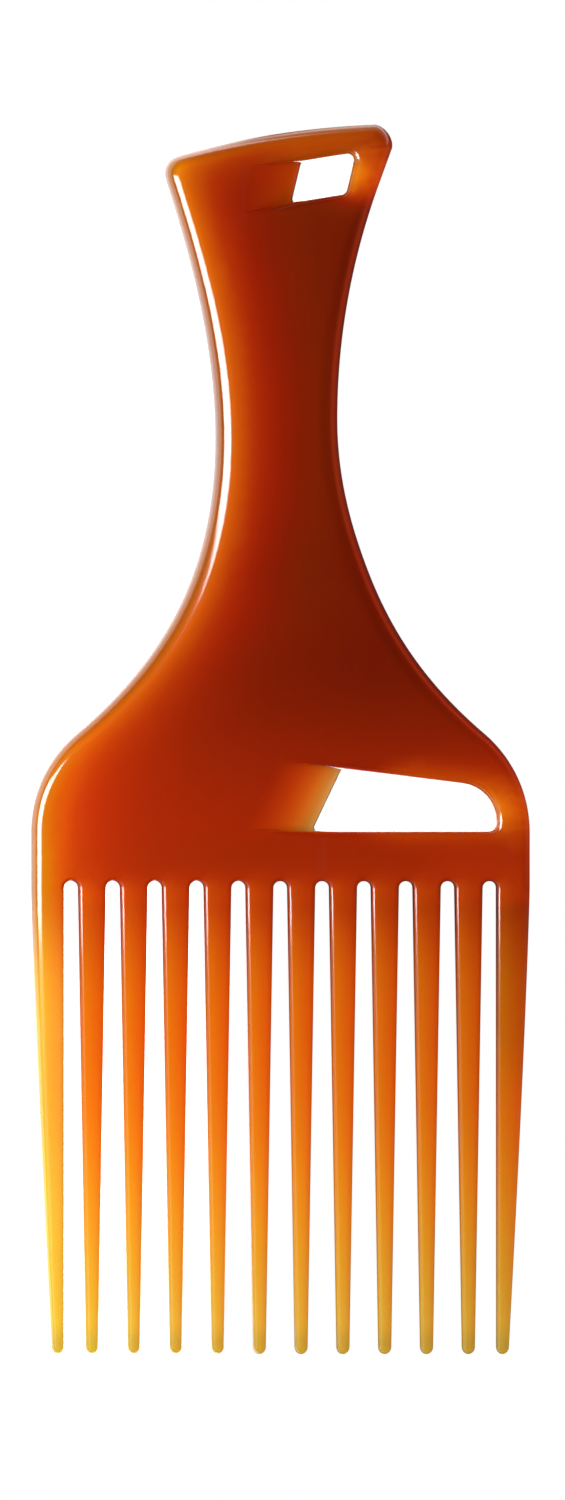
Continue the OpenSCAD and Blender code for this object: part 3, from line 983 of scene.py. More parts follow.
@dataclass(frozen=True)
class Glow:
    """Light that comes from the left and fades on its way through the plastic, worked out to be painted into
    the colour.

    Attributes:
        headings: Directions towards the light, in degrees.
        gap_reach: Width of open air that clears the light again.
        slant: Slanted ways further than this from level are cleared only between the teeth.
        comb_y: Y from which, and from which on fully, the teeth count.
        post_gap: Widths of an opening from which, and from which on fully, the post behind it lights up.
        post_w: Depth at which such a post is brightest, and where that ends.
        post_start: Share of that brightness right behind the opening.
        post_weights: Weight of each of the headings in the middle for such a post.
        step: Points closer than this share one value.
    """

    headings: tuple[float, ...] = (140, 150, 160, 170, 180, 190, 200, 210, 220)
    gap_reach: float = 3.5 * MM
    slant: float = 25.0
    comb_y: Pair = (-16 * MM, -23 * MM)
    post_gap: Pair = (5 * MM, 7 * MM)
    post_w: Pair = (5.3 * MM, 8 * MM)
    post_start: float = 0.1
    post_weights: tuple[int, ...] = (1, 2, 2, 2, 1)
    step: float = 0.15 * MM

    def crossed(self, points: Array, loops: list[Array], heading: float) -> Array:
        """Follows the light in one direction.

        Args:
            points: Points of the plan.
            loops: Closed loops round the plastic and round its openings.
            heading: Direction towards the light.

        Returns:
            For each point, the length of plastic on the way to it, where a stretch beyond open air counts for
            less, and the share of light that a post behind an opening gathers there.
        """
        c, s = towards(180 - heading)
        spin = np.array([[c, s], [-s, c]])
        a = np.concatenate([loop @ spin for loop in loops])
        b = np.concatenate([np.roll(loop, -1, axis=0) @ spin for loop in loops])
        found = np.zeros((len(points), 2))
        (gap0, gap1), (best, end), (start, full) = self.post_gap, self.post_w, self.comb_y
        clears = np.clip((points[:, 1] - start) / (full - start), 0, 1)
        if abs(heading - 180) < self.slant:
            clears = np.ones(len(points))
        for i, (x, y) in enumerate(points @ spin):
            hit = (a[:, 1] < y) != (b[:, 1] < y)
            p, q = a[hit], b[hit]
            at = np.sort(p[:, 0] + (y - p[:, 1]) * (q[:, 0] - p[:, 0]) / (q[:, 1] - p[:, 1]))
            starts, stops = at[::2], at[1::2]
            stretch = np.maximum(np.minimum(stops, x) - starts, 0)
            air = np.maximum(x - stops - (stretch.sum() - stretch.cumsum()), 0)
            found[i, 0] = (stretch * np.exp(-(air * clears[i] / self.gap_reach) ** 2)).sum()
            k = int(np.searchsorted(starts, x)) - 1
            if k > 0:
                open_share = np.clip((starts[k] - stops[k - 1] - gap0) / (gap1 - gap0), 0, 1)
                rise = mix(self.post_start, 1, min(stretch[k] / best, 1))
                found[i, 1] = open_share * rise * np.clip((end - stretch[k]) / (end - best), 0, 1)
        return found

    def over(self, points: Array, loops: list[Array]) -> tuple[Array, Array]:
        """Follows the light to every point.

        Args:
            points: Points of the plan.
            loops: Closed loops round the plastic and round its openings.

        Returns:
            The lengths of plastic, one row for each heading, and the light that posts gather.
        """
        _, first, back = np.unique((points / self.step).round().astype(int), axis=0,
                                   return_index=True, return_inverse=True)
        back, few = back.ravel(), points[first]
        found = np.array([self.crossed(few, loops, heading)[back] for heading in self.headings])
        side = (len(self.headings) - len(self.post_weights)) // 2
        return found[..., 0], np.average(found[side:-side, :, 1], axis=0, weights=self.post_weights)


@dataclass
class Pick:
    """The whole moulding, and the numbers on its points that its colour, with its painted light and shade,
    follows from.

    Attributes:
        outline: The outline.
        hang: The hang opening.
        finger: The finger opening.
        glow: The light on its way through the plastic.
        light_reach: Way in which that light fades to 1/e, above the palm and at the slot tops.
        rim_reach: The same for the light close to the rim.
        crown_reach: The same for the light through the crown.
        palm_from: Height where the palm's colour, with its own share of painted light, starts.
        far_edge: How far round an edge the plate's right side counts as, at the outline, for the painted edge
            shade.
        top_edge: How much less of an edge its top counts as, for that painted shade.
        fade_in: Y from which, and from which on fully, the teeth get darker to the right, painted shade away
            from the light on the left.
        outer_fade: Share of the left guard tooth over which its own painted light comes up and goes again.
        hang_core: How far the bright core by the hang opening reaches to the left and to the right.
        hang_from: Direction in which its light goes.
        hang_reach: Way in which that light fades to 1/e.
        hang_far: Where it ends altogether.
    """

    outline: Outline = field(default_factory=lambda: Outline(Plate(), Comb(), Handle()))
    hang: HangSizes = field(default_factory=HangSizes)
    finger: FingerSizes = field(default_factory=FingerSizes)
    glow: Glow = field(default_factory=Glow)
    light_reach: Pair = (6 * MM, 8.5 * MM)
    rim_reach: float = 2.5 * MM
    crown_reach: float = 5 * MM
    palm_from: float = 25 * MM
    far_edge: float = 0.74
    top_edge: float = 0.2
    fade_in: Pair = (-14 * MM, -26 * MM)
    outer_fade: float = 0.3
    hang_core: Pair = (-8 * MM, 2 * MM)
    hang_from: Pair = (0.2, 0.95)
    hang_reach: float = 3.5 * MM
    hang_far: float = 18 * MM

    def hang_light(self, xy: Array, hang: Opening) -> Array:
        """Painted light that the hang opening lets into the rail over it and the post beside it.

        Args:
            xy: Points of the plan.
            hang: The opening.

        Returns:
            The light at each point.
        """
        bore = hang.bore()
        light, middle = np.zeros(len(xy)), (bore.min(axis=0) + bore.max(axis=0)) / 2
        near = np.hypot(*(xy - middle).T) < self.hang_far
        off = xy[near] - middle
        off[:, 0] -= np.clip(off[:, 0], *self.hang_core)
        side = np.clip(unit(off) @ np.array(self.hang_from), 0, 1) * ~covered(xy[near], [hang.scoop_area()])
        light[near] = side * np.exp(-clearance(xy[near], bore) / self.hang_reach)
        return light

    def seeds(self, z: float, loops: list[Array]) -> Array:
        """Points for the inside of a flat face.

        Args:
            z: Height of the face.
            loops: Its outline and its holes, which the points keep away from.

        Returns:
            The points.
        """
        gap = self.outline.plate.seed_gap
        far = self.outline.comb.width / 2
        xs = np.arange(-far, far, gap)
        ys = np.arange(self.outline.tooth_y + gap, self.outline.root_y + self.outline.handle.crown_up, gap)
        points = np.array([[x + (gap / 2 if j % 2 else 0), y] for j, y in enumerate(ys) for x in xs])
        points = points[covered(points, [loop[:, :2] for loop in loops])]
        edge = np.concatenate(loops)[:, :2]
        return raised(points[clearance(points, edge) > gap / 2], z)

    def stock(self, xy: Array, openings: list[Opening]) -> tuple[Array, Array]:
        """How thick the plastic is, and how far along a tooth it is.

        Args:
            xy: Points of the plan.
            openings: The openings, whose scoops are thin.

        Returns:
            The thickness as a share of the plate's, and the share of the way from root to tip.
        """
        plate, o = self.outline.plate, self.outline
        along = np.clip((o.tooth_y - xy[:, 1]) / (o.tooth_y - o.taper_end_y), 0, 1)
        share = mix(1, o.comb.tip_t / plate.thick, along)
        for opening in openings:
            inside = covered(xy, [opening.scoop_area()])
            share[inside] = 1 - opening.scoop_glow * opening.depth(xy[inside]) / plate.thick
        return share, along

    def build(self) -> bpy.types.Object:
        """Builds the moulding as one closed skin.

        Returns:
            The moulding, which carries the numbers for its colour.
        """
        skin = Skin()
        plate, band = self.outline.plate, self.outline.band()
        turns = quarter(plate.edge_steps)
        rings = [band.ring(s, plate.mid, Face.BACK) for s, _ in turns]
        rings += [band.ring(s, plate.mid, Face.FRONT) for s, _ in turns[::-1]]
        # Edge values for the painted shade of the rounded edge: the right side and the top count as less of
        # an edge.
        right, up = unit(band.outer - band.inner).clip(0, 1).T
        teeth = band.outer[:, 1] < self.outline.tooth_y
        lean = 1 - np.where(teeth, right, np.maximum((1 - self.far_edge) * right, self.top_edge * up))
        skin.grid(rings, [s * lean for s, _ in turns + turns[::-1]], closed=True)
        openings = [sizes.opening(self.outline) for sizes in (self.hang, self.finger)]
        holes = [opening.cut(skin, band.inner) for opening in openings]
        roots = np.isclose(band.outer[:, 1], self.outline.tooth_y)
        for ring, z, side in ((rings[-1], plate.thick, 0), (rings[0], 0.0, 1)):
            loops = [ring] + [pair[side] for pair in holes]
            skin.fill(loops, self.seeds(z, loops), ring[roots].reshape(-1, 2, 3))
        xy, far = np.array(skin.points)[:, :2], self.outline.comb.width / 2
        (fade, full), outer_left = self.fade_in, self.outline.comb.guard_w - far
        stock, along = self.stock(xy, openings)
        lengths, posts = self.glow.over(xy, [band.outer] + [opening.bore() for opening in openings])
        palm = np.clip((self.palm_from - xy[:, 1]) / (self.palm_from - self.outline.root_y), 0, 1)
        reach = mix(*self.light_reach, np.sqrt(palm))
        crown = np.array([self.outline.crown_y(x) for x in xy[:, 0]]) - xy[:, 1]
        # Painted light for the colour: light from the left through the plastic, near the rim, through the
        # crown, through the openings onto the posts and by the hang opening.
        values = {"light": np.exp(-lengths / reach).mean(axis=0),
                  "rim_light": np.exp(-lengths / self.rim_reach).mean(axis=0),
                  "crown_light": np.exp(-np.maximum(crown, 0) / self.crown_reach), "post_light": posts,
                  "hang_light": self.hang_light(xy, openings[0]),
                  "palm": palm, "stock": stock, "along_tooth": along, "edge": np.array(skin.edges),
                  "outer_tooth": (np.clip(along / self.outer_fade, 0, 1)
                                  * np.clip((1 - along) / self.outer_fade, 0, 1) * (xy[:, 0] < outer_left)),
                  "across": (xy[:, 0] / far + 1) / 2 * np.clip((fade - xy[:, 1]) / (fade - full), 0, 1)}
        return skin.build("amber_moulding", values)


class Value:
    """A value in a node tree, with the usual arithmetic."""

    def __init__(self, graph: "Graph", socket: bpy.types.NodeSocket) -> None:
        """Keeps what a node puts out."""
        self.graph, self.socket = graph, socket

    def run(self, operation: str, *others: "Input") -> "Value":
        """The result of an operation on this value and others."""
        return self.graph.math(operation, self, *others)

    def __rsub__(self, other: float) -> "Value":
        """What is left of a number after this value."""
        return self.graph.math("SUBTRACT", other, self)

    def ramp(self, start: float, end: float, low: float = 0.0, high: float = 1.0,
             kind: str = "SMOOTHSTEP") -> "Value":
        """A value that goes from low to high as this one goes from start to end."""
        inputs = {"Value": self, "From Min": start, "From Max": end, "To Min": low, "To Max": high}
        return self.graph.made("MapRange", inputs, interpolation_type=kind)

    def band(self, rise_from: float, rise_to: float, fall_from: float, fall_to: float) -> "Value":
        """1 while this value is in a band and 0 outside it, with soft ends."""
        return self.ramp(rise_from, rise_to) * self.ramp(fall_from, fall_to, 1.0, 0.0)

    # The usual operators and a few named ones, each through one node.
    __add__ = __radd__ = partialmethod(run, "ADD")
    __mul__ = __rmul__ = partialmethod(run, "MULTIPLY")
    __sub__ = partialmethod(run, "SUBTRACT")
    __truediv__ = partialmethod(run, "DIVIDE")
    __pow__ = partialmethod(run, "POWER")
    __abs__ = partialmethod(run, "ABSOLUTE")
    exp = partialmethod(run, "EXPONENT")
    smaller = partialmethod(run, "MINIMUM")
    larger = partialmethod(run, "MAXIMUM")


Input = Value | bpy.types.NodeSocket | float | tuple


class Graph:
    """Adds nodes to a tree and joins them."""

    def __init__(self, tree: bpy.types.NodeTree) -> None:
        """Takes over a tree and empties it."""
        self.tree = tree
        tree.nodes.clear()

    def node(self, kind: str, inputs: dict[str | int, Input] | None = None,
             **settings: object) -> bpy.types.Node:
        """Adds a node.

        Args:
            kind: The node's type, without its prefix.
            inputs: What goes into its sockets: a number, or what another node puts out.
            **settings: Its other properties.

        Returns:
            The node.
        """
        node = self.tree.nodes.new(kind if kind.startswith("Node") else f"ShaderNode{kind}")
        for key, value in settings.items():
            setattr(node, key, value)
        for key, value in (inputs or {}).items():
            value = value.socket if isinstance(value, Value) else value
            if isinstance(value, bpy.types.NodeSocket):
                self.tree.links.new(value, node.inputs[key])
            else:
                node.inputs[key].default_value = value
        return node

    def made(self, kind: str, inputs: dict[str | int, Input] | None = None, out: str | int = 0,
             **settings: object) -> Value:
        """What a new node puts out."""
        return Value(self, self.node(kind, inputs, **settings).outputs[out])

    def math(self, operation: str, *values: Input) -> Value:
        """The result of a sum, product or other operation."""
        return self.made("Math", dict(enumerate(values)), operation=operation)

    def noise(self, where: Value, scale: float = 1.0, detail: float = 0.0, **inputs: float) -> Value:
        """Smooth noise, with its lumps 1/scale metres across."""
        return self.made("TexNoise", {"Vector": where, "Scale": scale, "Detail": detail, **inputs}, "Fac")

    def place(self, scale: Triple = (1.0, 1.0, 1.0), turn: float = 0.0) -> Value:
        """Object coordinates in metres, scaled along each axis and then turned in the plan."""
        where = self.made("TexCoord", out="Object")
        return self.made("Mapping", {"Vector": where, "Scale": scale, "Rotation": (0, 0, turn)})


class Effect:
    """A node group with named numbers going in and coming out, built once."""

    def __init__(self, name: str, inputs: dict[str, float], outputs: tuple[str, ...]) -> None:
        """Starts the group.

        Args:
            name: The group's name.
            inputs: Its inputs and their usual values.
            outputs: Its outputs.
        """
        self.tree = bpy.data.node_groups.new(name, "ShaderNodeTree")
        self.graph = Graph(self.tree)
        sockets = self.tree.interface
        for key, value in inputs.items():
            socket = sockets.new_socket(key, in_out="INPUT", socket_type="NodeSocketFloat")
            socket.default_value = value
        for key in outputs:
            sockets.new_socket(key, in_out="OUTPUT", socket_type="NodeSocketFloat")
        given = self.graph.node("NodeGroupInput").outputs
        self.given = [Value(self.graph, given[key]) for key in inputs]

    def put(self, **results: Value) -> "Effect":
        """Sends the results out of the group, and gives the finished group."""
        self.graph.node("NodeGroupOutput", results)
        return self

    def use(self, graph: Graph, inputs: dict[str, Input] | None = None) -> dict[str, Value]:
        """Places the group in a material, and gives what it puts out there."""
        node = graph.node("Group", inputs, node_tree=self.tree)
        return {socket.name: Value(graph, socket) for socket in node.outputs}


def new_material(name: str) -> tuple[bpy.types.Material, Graph]:
    """A new material, and its nodes, which are still to be added."""
    material = bpy.data.materials.new(name)
    material.use_nodes = True
    return material, Graph(material.node_tree)


@dataclass(frozen=True)
class Tone:
    """The amber's base colour, with light and shade painted into it: the light left in the plastic, and what
    its thickness filters out of it.

    Four numbers together are a curve: where it starts and ends, and its values there. For a band (glint, the
    far-side shade line, deep, brown, first_tooth) they are where it rises from and to, and where it falls
    from and to.
    """

    # Where the plate ends along a tooth, and the painted shade of the rounded edge, round it and along a
    # tooth.
    body: Curve = (0.0, 0.05, 1.0, 0.0)
    rim: Curve = (0.15, 0.7, 0.0, 1.0)
    rim_tooth: Curve = (0.0, 0.4, 1.0, 0.4)
    rim_shade: float = 0.7
    # Painted light in red: its share and its base down the palm, and how even it is on teeth.
    strength: Curve = (0.4, 1.0, 0.93, 0.74)
    base: Curve = (0.25, 0.85, 0.165, 0.35)
    tooth_light: float = 0.8
    tooth_even: Curve = (0.0, 0.3, 0.0, 0.75)
    # Painted light added to red: where light shows through thin plastic, at posts behind openings, on the
    # teeth, along the crown, by the hang opening and on the left guard tooth, the outer one, which faces the
    # light.
    thin_power: float = 0.75
    thin_palm: Curve = (0.0, 1.0, 1.0, 0.64)
    post_palm: Curve = (0.0, 1.0, 0.38, -0.03)
    tooth_red: Curve = (0.0, 0.6, 0.0, 0.12)
    crown_red: float = 0.02
    hang_red: float = 0.16
    outer_red: float = 0.2
    # Painted glint: the fine bright line of a reflection, and painted shade: the dark line inside it, along
    # the edge on the far side from the light.
    far_power: float = 3.0
    glint: Curve = (0.46, 0.60, 0.61, 0.72)
    glint_red: float = 0.13
    dip: Curve = (0.05, 0.3, 0.35, 0.5)
    dip_red: float = -0.02
    # What holds red back: a limit at the palm; painted shade to the right, away from the light; lower red
    # towards the tips; painted shade at the outermost edge, at the roots between the teeth and on the right
    # guard tooth.
    limit_palm: Curve = (0.3, 0.6, 0.0, 0.24)
    limit_tooth: Curve = (0.0, 0.25, 1.0, 0.0)
    across_loss: float = 0.34
    tip_loss: Curve = (0.6, 1.0, 1.0, 0.90)
    end_loss: Curve = (0.94, 1.0, 1.0, 0.80)
    outer_edge: Curve = (0.74, 1.0, 1.0, 0.2)
    outer_tooth: Curve = (0.0, 0.2, 0.0, 0.75)
    root_loss: Curve = (0.3, 0.75, 0.085, 0.0)
    root_across: Pair = (0.07, 0.11)
    guard_across: Pair = (0.88, 0.95)
    guard_loss: Curve = (0.3, 0.5, 0.15, 0.0)
    # Green as a share of red: what plastic of a thickness in millimetres leaves of it, and the painted light
    # that is added near the lit rim, along the crown, at posts, by the hang opening and on the left guard
    # tooth.
    thick: float = Plate.thick / MM
    green_loss: float = -0.5
    green_base: float = 0.17
    rim_green: float = 0.54
    rim_green_shade: float = 0.4
    crown_green: float = 0.055
    post_green: float = 0.05
    hang_green: float = 0.11
    outer_green: float = 0.17
    # Where green is weaker or stronger: by light and palm, at the crossbar, on outer teeth, along all teeth.
    deep: Curve = (0.03, 0.15, 0.25, 0.4)
    deep_palm: Curve = (0.0, 0.6, 0.28, 0.0)
    brown: Curve = (0.0, 0.03, 0.045, 0.09)
    brown_palm: Curve = (0.0, 0.3, 0.25, 0.0)
    bar: Curve = (0.75, 0.95, 0.0, 0.15)
    first_tooth: Curve = (0.04, 0.08, 0.14, 0.24)
    first_green: float = 0.2
    last_tooth: Curve = (0.85, 1.0, 0.0, 0.15)
    on_tooth: Pair = (0.05, 0.25)
    tooth_green: tuple[Curve, ...] = (
        (0.0, 0.06, 1.0, 1.1), (0.1, 0.5, 1.0, 0.75), (0.15, 0.35, 1.0, 0.91), (0.5, 0.9, 1.0, 1.12))
    # Blue as a share of red, in the same way.
    blue_loss: float = -1.28
    outer_blue: float = 0.03

    def build(self) -> Effect:
        """Builds the group.

        Returns:
            The effect, which gives red, green and blue.
        """
        effect = Effect("amber_tone", {**MESH_VALUES, "Haze": 0.0}, ("Red", "Green", "Blue"))
        light, rim_light, crown, post, hang, palm, stock, along, left_guard, across, edge, haze = effect.given
        body = along.ramp(*self.body)
        rim = edge.ramp(*self.rim) * along.ramp(*self.rim_tooth)
        # Painted shade at the outermost edge, weaker along the teeth.
        outer = edge.ramp(*self.outer_edge)
        outer = (1 - outer) * along.ramp(*self.outer_tooth) + outer
        # Painted shade on the right guard tooth, furthest from the light.
        last = across.ramp(*self.guard_across) * along.ramp(*self.guard_loss)
        red = self.red(effect, body, rim)
        # Painted shade at the roots of the teeth, except on the left guard tooth.
        root = (1 - body) * along.ramp(*self.root_loss) * across.ramp(*self.root_across)
        for factor in (along.ramp(*self.tip_loss), along.ramp(*self.end_loss), 1 - across * self.across_loss,
                       outer, 1 - root, 1 - last):
            red = red * factor
        thick = stock * self.thick
        green = (thick * self.green_loss + self.green_base).exp() + crown * self.crown_green
        green = green + rim_light * outer * (1 - rim * self.rim_green_shade) * self.rim_green
        ends = across.band(*self.first_tooth) * self.first_green + across.ramp(*self.last_tooth)
        for factor in (*(along.ramp(*curve) for curve in self.tooth_green),
                       1 - light.band(*self.deep) * palm.ramp(*self.deep_palm),
                       1 + light.band(*self.brown) * palm.ramp(*self.brown_palm),
                       1 + palm.ramp(*self.bar) * body, 1 + ends * along.ramp(*self.on_tooth), 1 + last):
            green = green * factor
        green = green + post * self.post_green + hang * self.hang_green + left_guard * self.outer_green
        blue = (thick * self.blue_loss).exp() + left_guard * self.outer_blue
        return effect.put(Red=red, Green=red * green.smaller(1.0), Blue=red * blue)

    def red(self, effect: Effect, body: Value, rim: Value) -> Value:
        """Painted red light in the plastic, up to its limit.

        Args:
            effect: The effect that is being built.
            body: 1 on the plate and 0 on the teeth.
            rim: How far the rounded edge is in shade.

        Returns:
            The red light.
        """
        light, _, crown, post, hang, palm, stock, along, left_guard, _, edge, haze = effect.given
        even = (self.tooth_light - light) * along.ramp(*self.tooth_even) + light
        lit = even * (1 - rim * self.rim_shade * (1 - post))
        thin = ((1 - stock) * body) ** self.thin_power * (1 - rim)
        # Painted glint and painted shade line along the edge on the side away from the light.
        away_from_light = (1 - light) ** self.far_power
        red = lit * palm.ramp(*self.strength, "LINEAR") + palm.ramp(*self.base) + haze
        for extra, share in ((thin, palm.ramp(*self.thin_palm, "LINEAR")),
                             (post, palm.ramp(*self.post_palm, "LINEAR")), (along.ramp(*self.tooth_red), 1.0),
                             (crown, self.crown_red), (hang, self.hang_red), (left_guard, self.outer_red),
                             (edge.band(*self.glint) * away_from_light, self.glint_red),
                             (edge.band(*self.dip) * away_from_light, self.dip_red)):
            red = red + extra * share
        return red.smaller(1 - palm.ramp(*self.limit_palm) * along.ramp(*self.limit_tooth))


@dataclass(frozen=True)
class Haze:
    """Faint clouds and flow streaks inside the plastic."""

    cloud: float = 0.02
    cloud_scale: float = 90.0
    streak: float = 0.015
    streak_scale: Triple = (420.0, 26.0, 420.0)
    bend: float = 0.6

    def build(self) -> Effect:
        """Builds the group.

        Returns:
            The effect, which gives the shift in red.
        """
        effect = Effect("flow_haze", {"Cloud": self.cloud, "Streak": self.streak}, ("Shift",))
        g, (cloud, streak) = effect.graph, effect.given
        clouds = g.noise(g.place(), self.cloud_scale, detail=3.0)
        streaks = g.noise(g.place(self.streak_scale), detail=2.0, Distortion=self.bend)
        return effect.put(Shift=(clouds - 0.5) * cloud + (streaks - 0.5) * streak)


@dataclass(frozen=True)
class Handling:
    """Hairline scratches and a faint waviness, from use and from the mould.

    Attributes:
        lines: For each set of scratches, a turn that gives it its own noise, and its closeness.
        length: Length of a scratch in widths, along the pick.
        line: Noise from which, and from which on fully, a scratch shows.
        patch_scale: Scale of the patches that have scratches.
        patch: Noise from which, and from which on fully, a patch has them.
        wave_scale: Scale of the waviness.
        depth: Depth of a scratch against the waves.
        dulling: Roughness that it adds.
    """

    lines: tuple[Pair, ...] = ((0.25, 900.0), (-0.9, 1200.0), (1.35, 1000.0))
    length: float = 30.0
    line: Pair = (0.72, 0.78)
    patch_scale: float = 60.0
    patch: Pair = (0.45, 0.62)
    wave_scale: float = 110.0
    depth: float = 0.06
    dulling: float = 0.05

    def build(self) -> Effect:
        """Builds the group.

        Returns:
            The effect, which gives the height of the surface and the roughness added.
        """
        effect = Effect("handling_marks", {"Scratch": 1.0, "Wave": 1.0}, ("Height", "Dulling"))
        g, (scratch, wave) = effect.graph, effect.given
        sets = [g.noise(g.place((near, near / self.length, near), turn)).ramp(*self.line)
                for turn, near in self.lines]
        patches = g.noise(g.place(), self.patch_scale, detail=2.0).ramp(*self.patch)
        marks = reduce(Value.larger, sets) * patches * scratch
        waves = g.noise(g.place(), self.wave_scale, detail=1.0) * wave
        return effect.put(Height=waves - marks * self.depth, Dulling=marks * self.dulling)


@dataclass(frozen=True)
class Parting:
    """The fine line round the edge where both halves of the mould met."""

    width: float = 0.1 * MM

    def build(self) -> Effect:
        """Builds the group.

        Returns:
            The effect, which gives 1 on the line and 0 off it.
        """
        effect = Effect("parting_line", {"Middle": 0.0, "Width": self.width}, ("Line",))
        z = effect.graph.made("SeparateXYZ", {"Vector": effect.graph.place()}, "Z")
        middle, width = effect.given
        return effect.put(Line=(1 - abs(z - middle) / width).larger(0.0))


@dataclass(frozen=True)
class AmberPlastic:
    """Polished, hazy amber moulding.

    Attributes:
        roughness: Roughness of the polished surface.
        scatter: Share of the light that spreads inside the plastic.
        scatter_reach: How far red, green and blue light spread, as shares of the scale.
        scatter_scale: That scale.
        line_height: Height of the parting line against the waves.
        relief: Strength of the relief.
        relief_height: Its height.
        ior: Refractive index.
    """

    roughness: float = 0.11
    scatter: float = 0.4
    scatter_reach: Triple = (1.0, 0.5, 0.2)
    scatter_scale: float = 2.5 * MM
    line_height: float = 0.4
    relief: float = 0.12
    relief_height: float = 0.05 * MM
    ior: float = 1.5

    def material(self, plate: Plate) -> bpy.types.Material:
        """Builds the material.

        Args:
            plate: The plate, for the height of the parting line.

        Returns:
            The material.
        """
        material, g = new_material("amber_plastic")
        values = {name: g.made("Attribute", out="Fac", attribute_name=name.lower().replace(" ", "_"))
                  for name in MESH_VALUES}
        # The base colour carries painted light and shade: light from the left through the plastic, glints and
        # shaded edges.
        tone = Tone().build().use(g, {**values, "Haze": Haze().build().use(g)["Shift"]})
        marks = Handling().build().use(g)
        line = Parting().build().use(g, {"Middle": plate.mid})["Line"]
        bump = g.made("Bump", {"Height": line * self.line_height + marks["Height"], "Strength": self.relief,
                               "Distance": self.relief_height})
        shader = g.made("BsdfPrincipled", {
            "Base Color": g.made("CombineColor", tone), "Normal": bump,
            "Roughness": marks["Dulling"] + self.roughness, "IOR": self.ior,
            "Subsurface Weight": self.scatter, "Subsurface Radius": self.scatter_reach,
            "Subsurface Scale": self.scatter_scale})
        g.node("OutputMaterial", {"Surface": shader})
        return material


@dataclass(frozen=True)
class Lamp:
    """A soft rectangular lamp that faces the pick.

    Attributes:
        name: Its name.
        at: Its place.
        size: Its width and length.
        glow: Brightness of its face.
        gloss: Whether it is there for the reflections, and otherwise for the colour of the plastic.
    """

    name: str
    at: Triple
    size: Pair
    glow: float
    gloss: bool

    def build(self) -> None:
        """Hangs the lamp."""
        data = bpy.data.lights.new(self.name, "AREA")
        data.shape = "RECTANGLE"
        data.size, data.size_y = self.size
        data.energy = self.glow * math.pi * self.size[0] * self.size[1]
        lamp = placed(self.name, data)
        lamp.location = self.at
        lamp.rotation_euler = (0, math.atan2(self.at[0], self.at[2]), 0)
        lamp.visible_camera = False
        lamp.visible_glossy = self.gloss
        lamp.visible_diffuse = not self.gloss


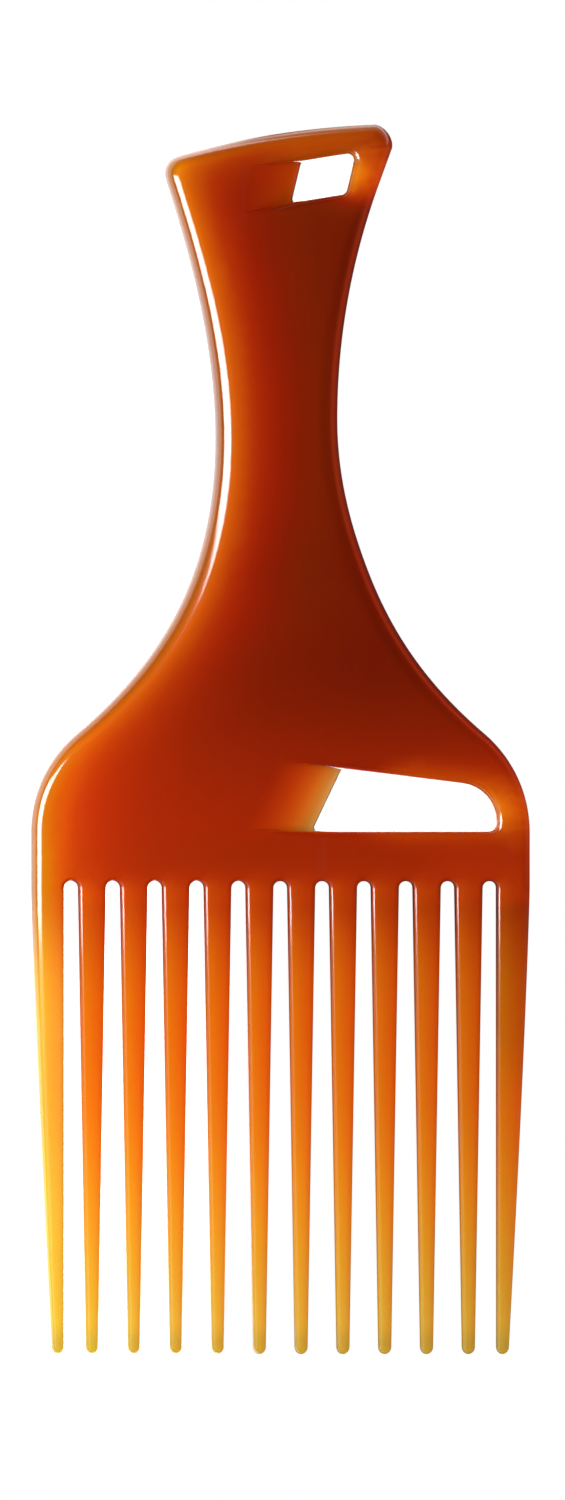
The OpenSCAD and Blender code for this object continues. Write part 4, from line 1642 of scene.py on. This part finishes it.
@dataclass(frozen=True)
class Studio:
    """The white table, the room, the lamps and the camera.

    Attributes:
        lamps: The lamps.
        table_gloss: Dimmest and brightest part of the table, as the pick's polish mirrors it.
        table_left: Curve in X by which the bright left part ends.
        table_far: Curve in X by which it starts.
        table_top: Curve in Y by which the bright strip beyond the head starts.
        table_end: Curve in Y by which that strip ends.
        windows: X and Y range of the part of the table under each opening, which is bright too.
        table_fill: Brightness of the table as it lights the plastic.
        table_gap: Gap between the table and the pick.
        room_up: Curve of the room's brightness from level upwards, as the polish mirrors it.
        room_side: Curve of it from left to right.
        room_fill: Brightness of the room as it lights the plastic.
        far: Half the length of the table.
        height: Height of the camera.
        sensor: Width of its sensor, in real millimetres.
        view: Length of the photo's frame on the table.
        centre: The point under the camera.

    Lengths and places are in metres.
    """

    lamps: tuple[Lamp, ...] = (
        Lamp("strip_left", (-0.182, 0.015, 0.178), (0.135, 0.125), 26.0, True),
        Lamp("strip_low", (-0.182, -0.10, 0.178), (0.135, 0.10), 1.2, True),
        Lamp("key_left", (-0.30, 0.0, 0.45), (0.5, 0.5), 0.9, False))
    table_gloss: Pair = (0.05, 5.2)
    table_left: Curve = (-0.017, 0.001, 1.0, 0.0)
    table_far: Curve = (-0.045, -0.028, 0.62, 1.0)
    table_top: Curve = (0.095, 0.100, 0.0, 0.4)
    table_end: Curve = (0.099, 0.108, 1.0, 0.2)
    windows: tuple[tuple[Pair, Pair], ...] = (((0.001, 0.0105), (0.0835, 0.0905)),
                                              ((0.004, 0.0335), (-0.0145, -0.0045)))
    table_fill: float = 1.1
    table_gap: float = 0.05 * MM
    room_up: Curve = (0.0, 0.36, 1.0, 0.0)
    room_side: Curve = (-0.9, 0.0, 5.0, 0.1)
    room_fill: float = 1.15
    far: float = 10.0
    height: float = 2.0
    sensor: float = 36.0
    view: float = 232.5 * MM
    centre: Pair = (0.36 * MM, -1.7 * MM)

    def by_use(self, g: Graph, gloss: Value, fill: float) -> Value:
        """White as the camera sees it, but other brightnesses for reflections and for lighting.

        Args:
            g: The nodes.
            gloss: Brightness in reflections.
            fill: Brightness as it lights the plastic.

        Returns:
            The brightness.
        """
        path = g.node("LightPath").outputs
        felt = g.made("Mix", {"Factor": path["Is Glossy Ray"], "A": fill, "B": gloss})
        return g.made("Mix", {"Factor": path["Is Camera Ray"], "A": felt, "B": 1.0})

    def patch(self, places: tuple[Value, ...], window: tuple[Pair, Pair]) -> Value:
        """A patch of the table that is bright in reflections, with soft sides.

        Args:
            places: X and Y on the table.
            window: X and Y range of the patch.

        Returns:
            1 inside the patch and 0 outside it.
        """
        inside = 1.0
        for place, (low, high) in zip(places, window):
            half = (high - low) / 2
            inside = inside * abs(place - (low + high) / 2).ramp(half - MM, half + MM, 1.0, 0.0)
        return inside

    def table(self) -> None:
        """Lays a large white table just under the pick."""
        mesh = bpy.data.meshes.new("table")
        corners = ((-1, -1), (1, -1), (1, 1), (-1, 1))
        points = [(x * self.far, y * self.far, -self.table_gap) for x, y in corners]
        mesh.from_pydata(points, [], [(0, 1, 2, 3)])
        table = placed("table", mesh)
        material, g = new_material("white_table")
        x, y = (g.made("SeparateXYZ", {"Vector": g.place()}, axis) for axis in "XY")
        bright = reduce(Value.larger, [x.ramp(*self.table_left) * x.ramp(*self.table_far),
                                       y.ramp(*self.table_top) * y.ramp(*self.table_end),
                                       *(self.patch((x, y), window) for window in self.windows)])
        strength = self.by_use(g, bright.ramp(0.0, 1.0, *self.table_gloss, "LINEAR"), self.table_fill)
        g.node("OutputMaterial", {"Surface": g.made("Emission", {"Strength": strength})})
        mesh.materials.append(material)

    def room(self) -> None:
        """Surrounds the scene with a pale room that the pick's polish mirrors only low on the left."""
        world = bpy.data.worlds.new("room")
        world.use_nodes = True
        g = Graph(world.node_tree)
        x, z = (g.made("SeparateXYZ", {"Vector": g.made("TexCoord", out="Generated")}, axis) for axis in "XZ")
        strength = self.by_use(g, z.ramp(*self.room_up) * x.ramp(*self.room_side), self.room_fill)
        g.node("OutputWorld", {"Surface": g.made("Background", {"Strength": strength})})
        bpy.context.scene.world = world

    def camera(self) -> None:
        """Puts the camera straight above the pick, as in the photo."""
        data = bpy.data.cameras.new("camera")
        data.sensor_width = self.sensor
        data.lens = data.sensor_width * self.height / self.view
        camera = placed("camera", data)
        camera.location = (*self.centre, self.height)
        bpy.context.scene.camera = camera

    def build(self) -> None:
        """Sets up the table, the room, the lamps and the camera."""
        self.table()
        self.room()
        for lamp in self.lamps:
            lamp.build()
        self.camera()
        bpy.context.scene.view_settings.view_transform = "Standard"


def main() -> None:
    """Builds the pick, dresses it and sets up the studio."""
    logging.basicConfig(level=logging.INFO, format="%(name)s: %(message)s")
    pick = Pick()
    moulding = pick.build()
    moulding.data.materials.append(AmberPlastic().material(pick.outline.plate))
    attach(moulding, "root")
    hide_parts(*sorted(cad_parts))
    Studio().build()


if __name__ == "__main__":
    main()
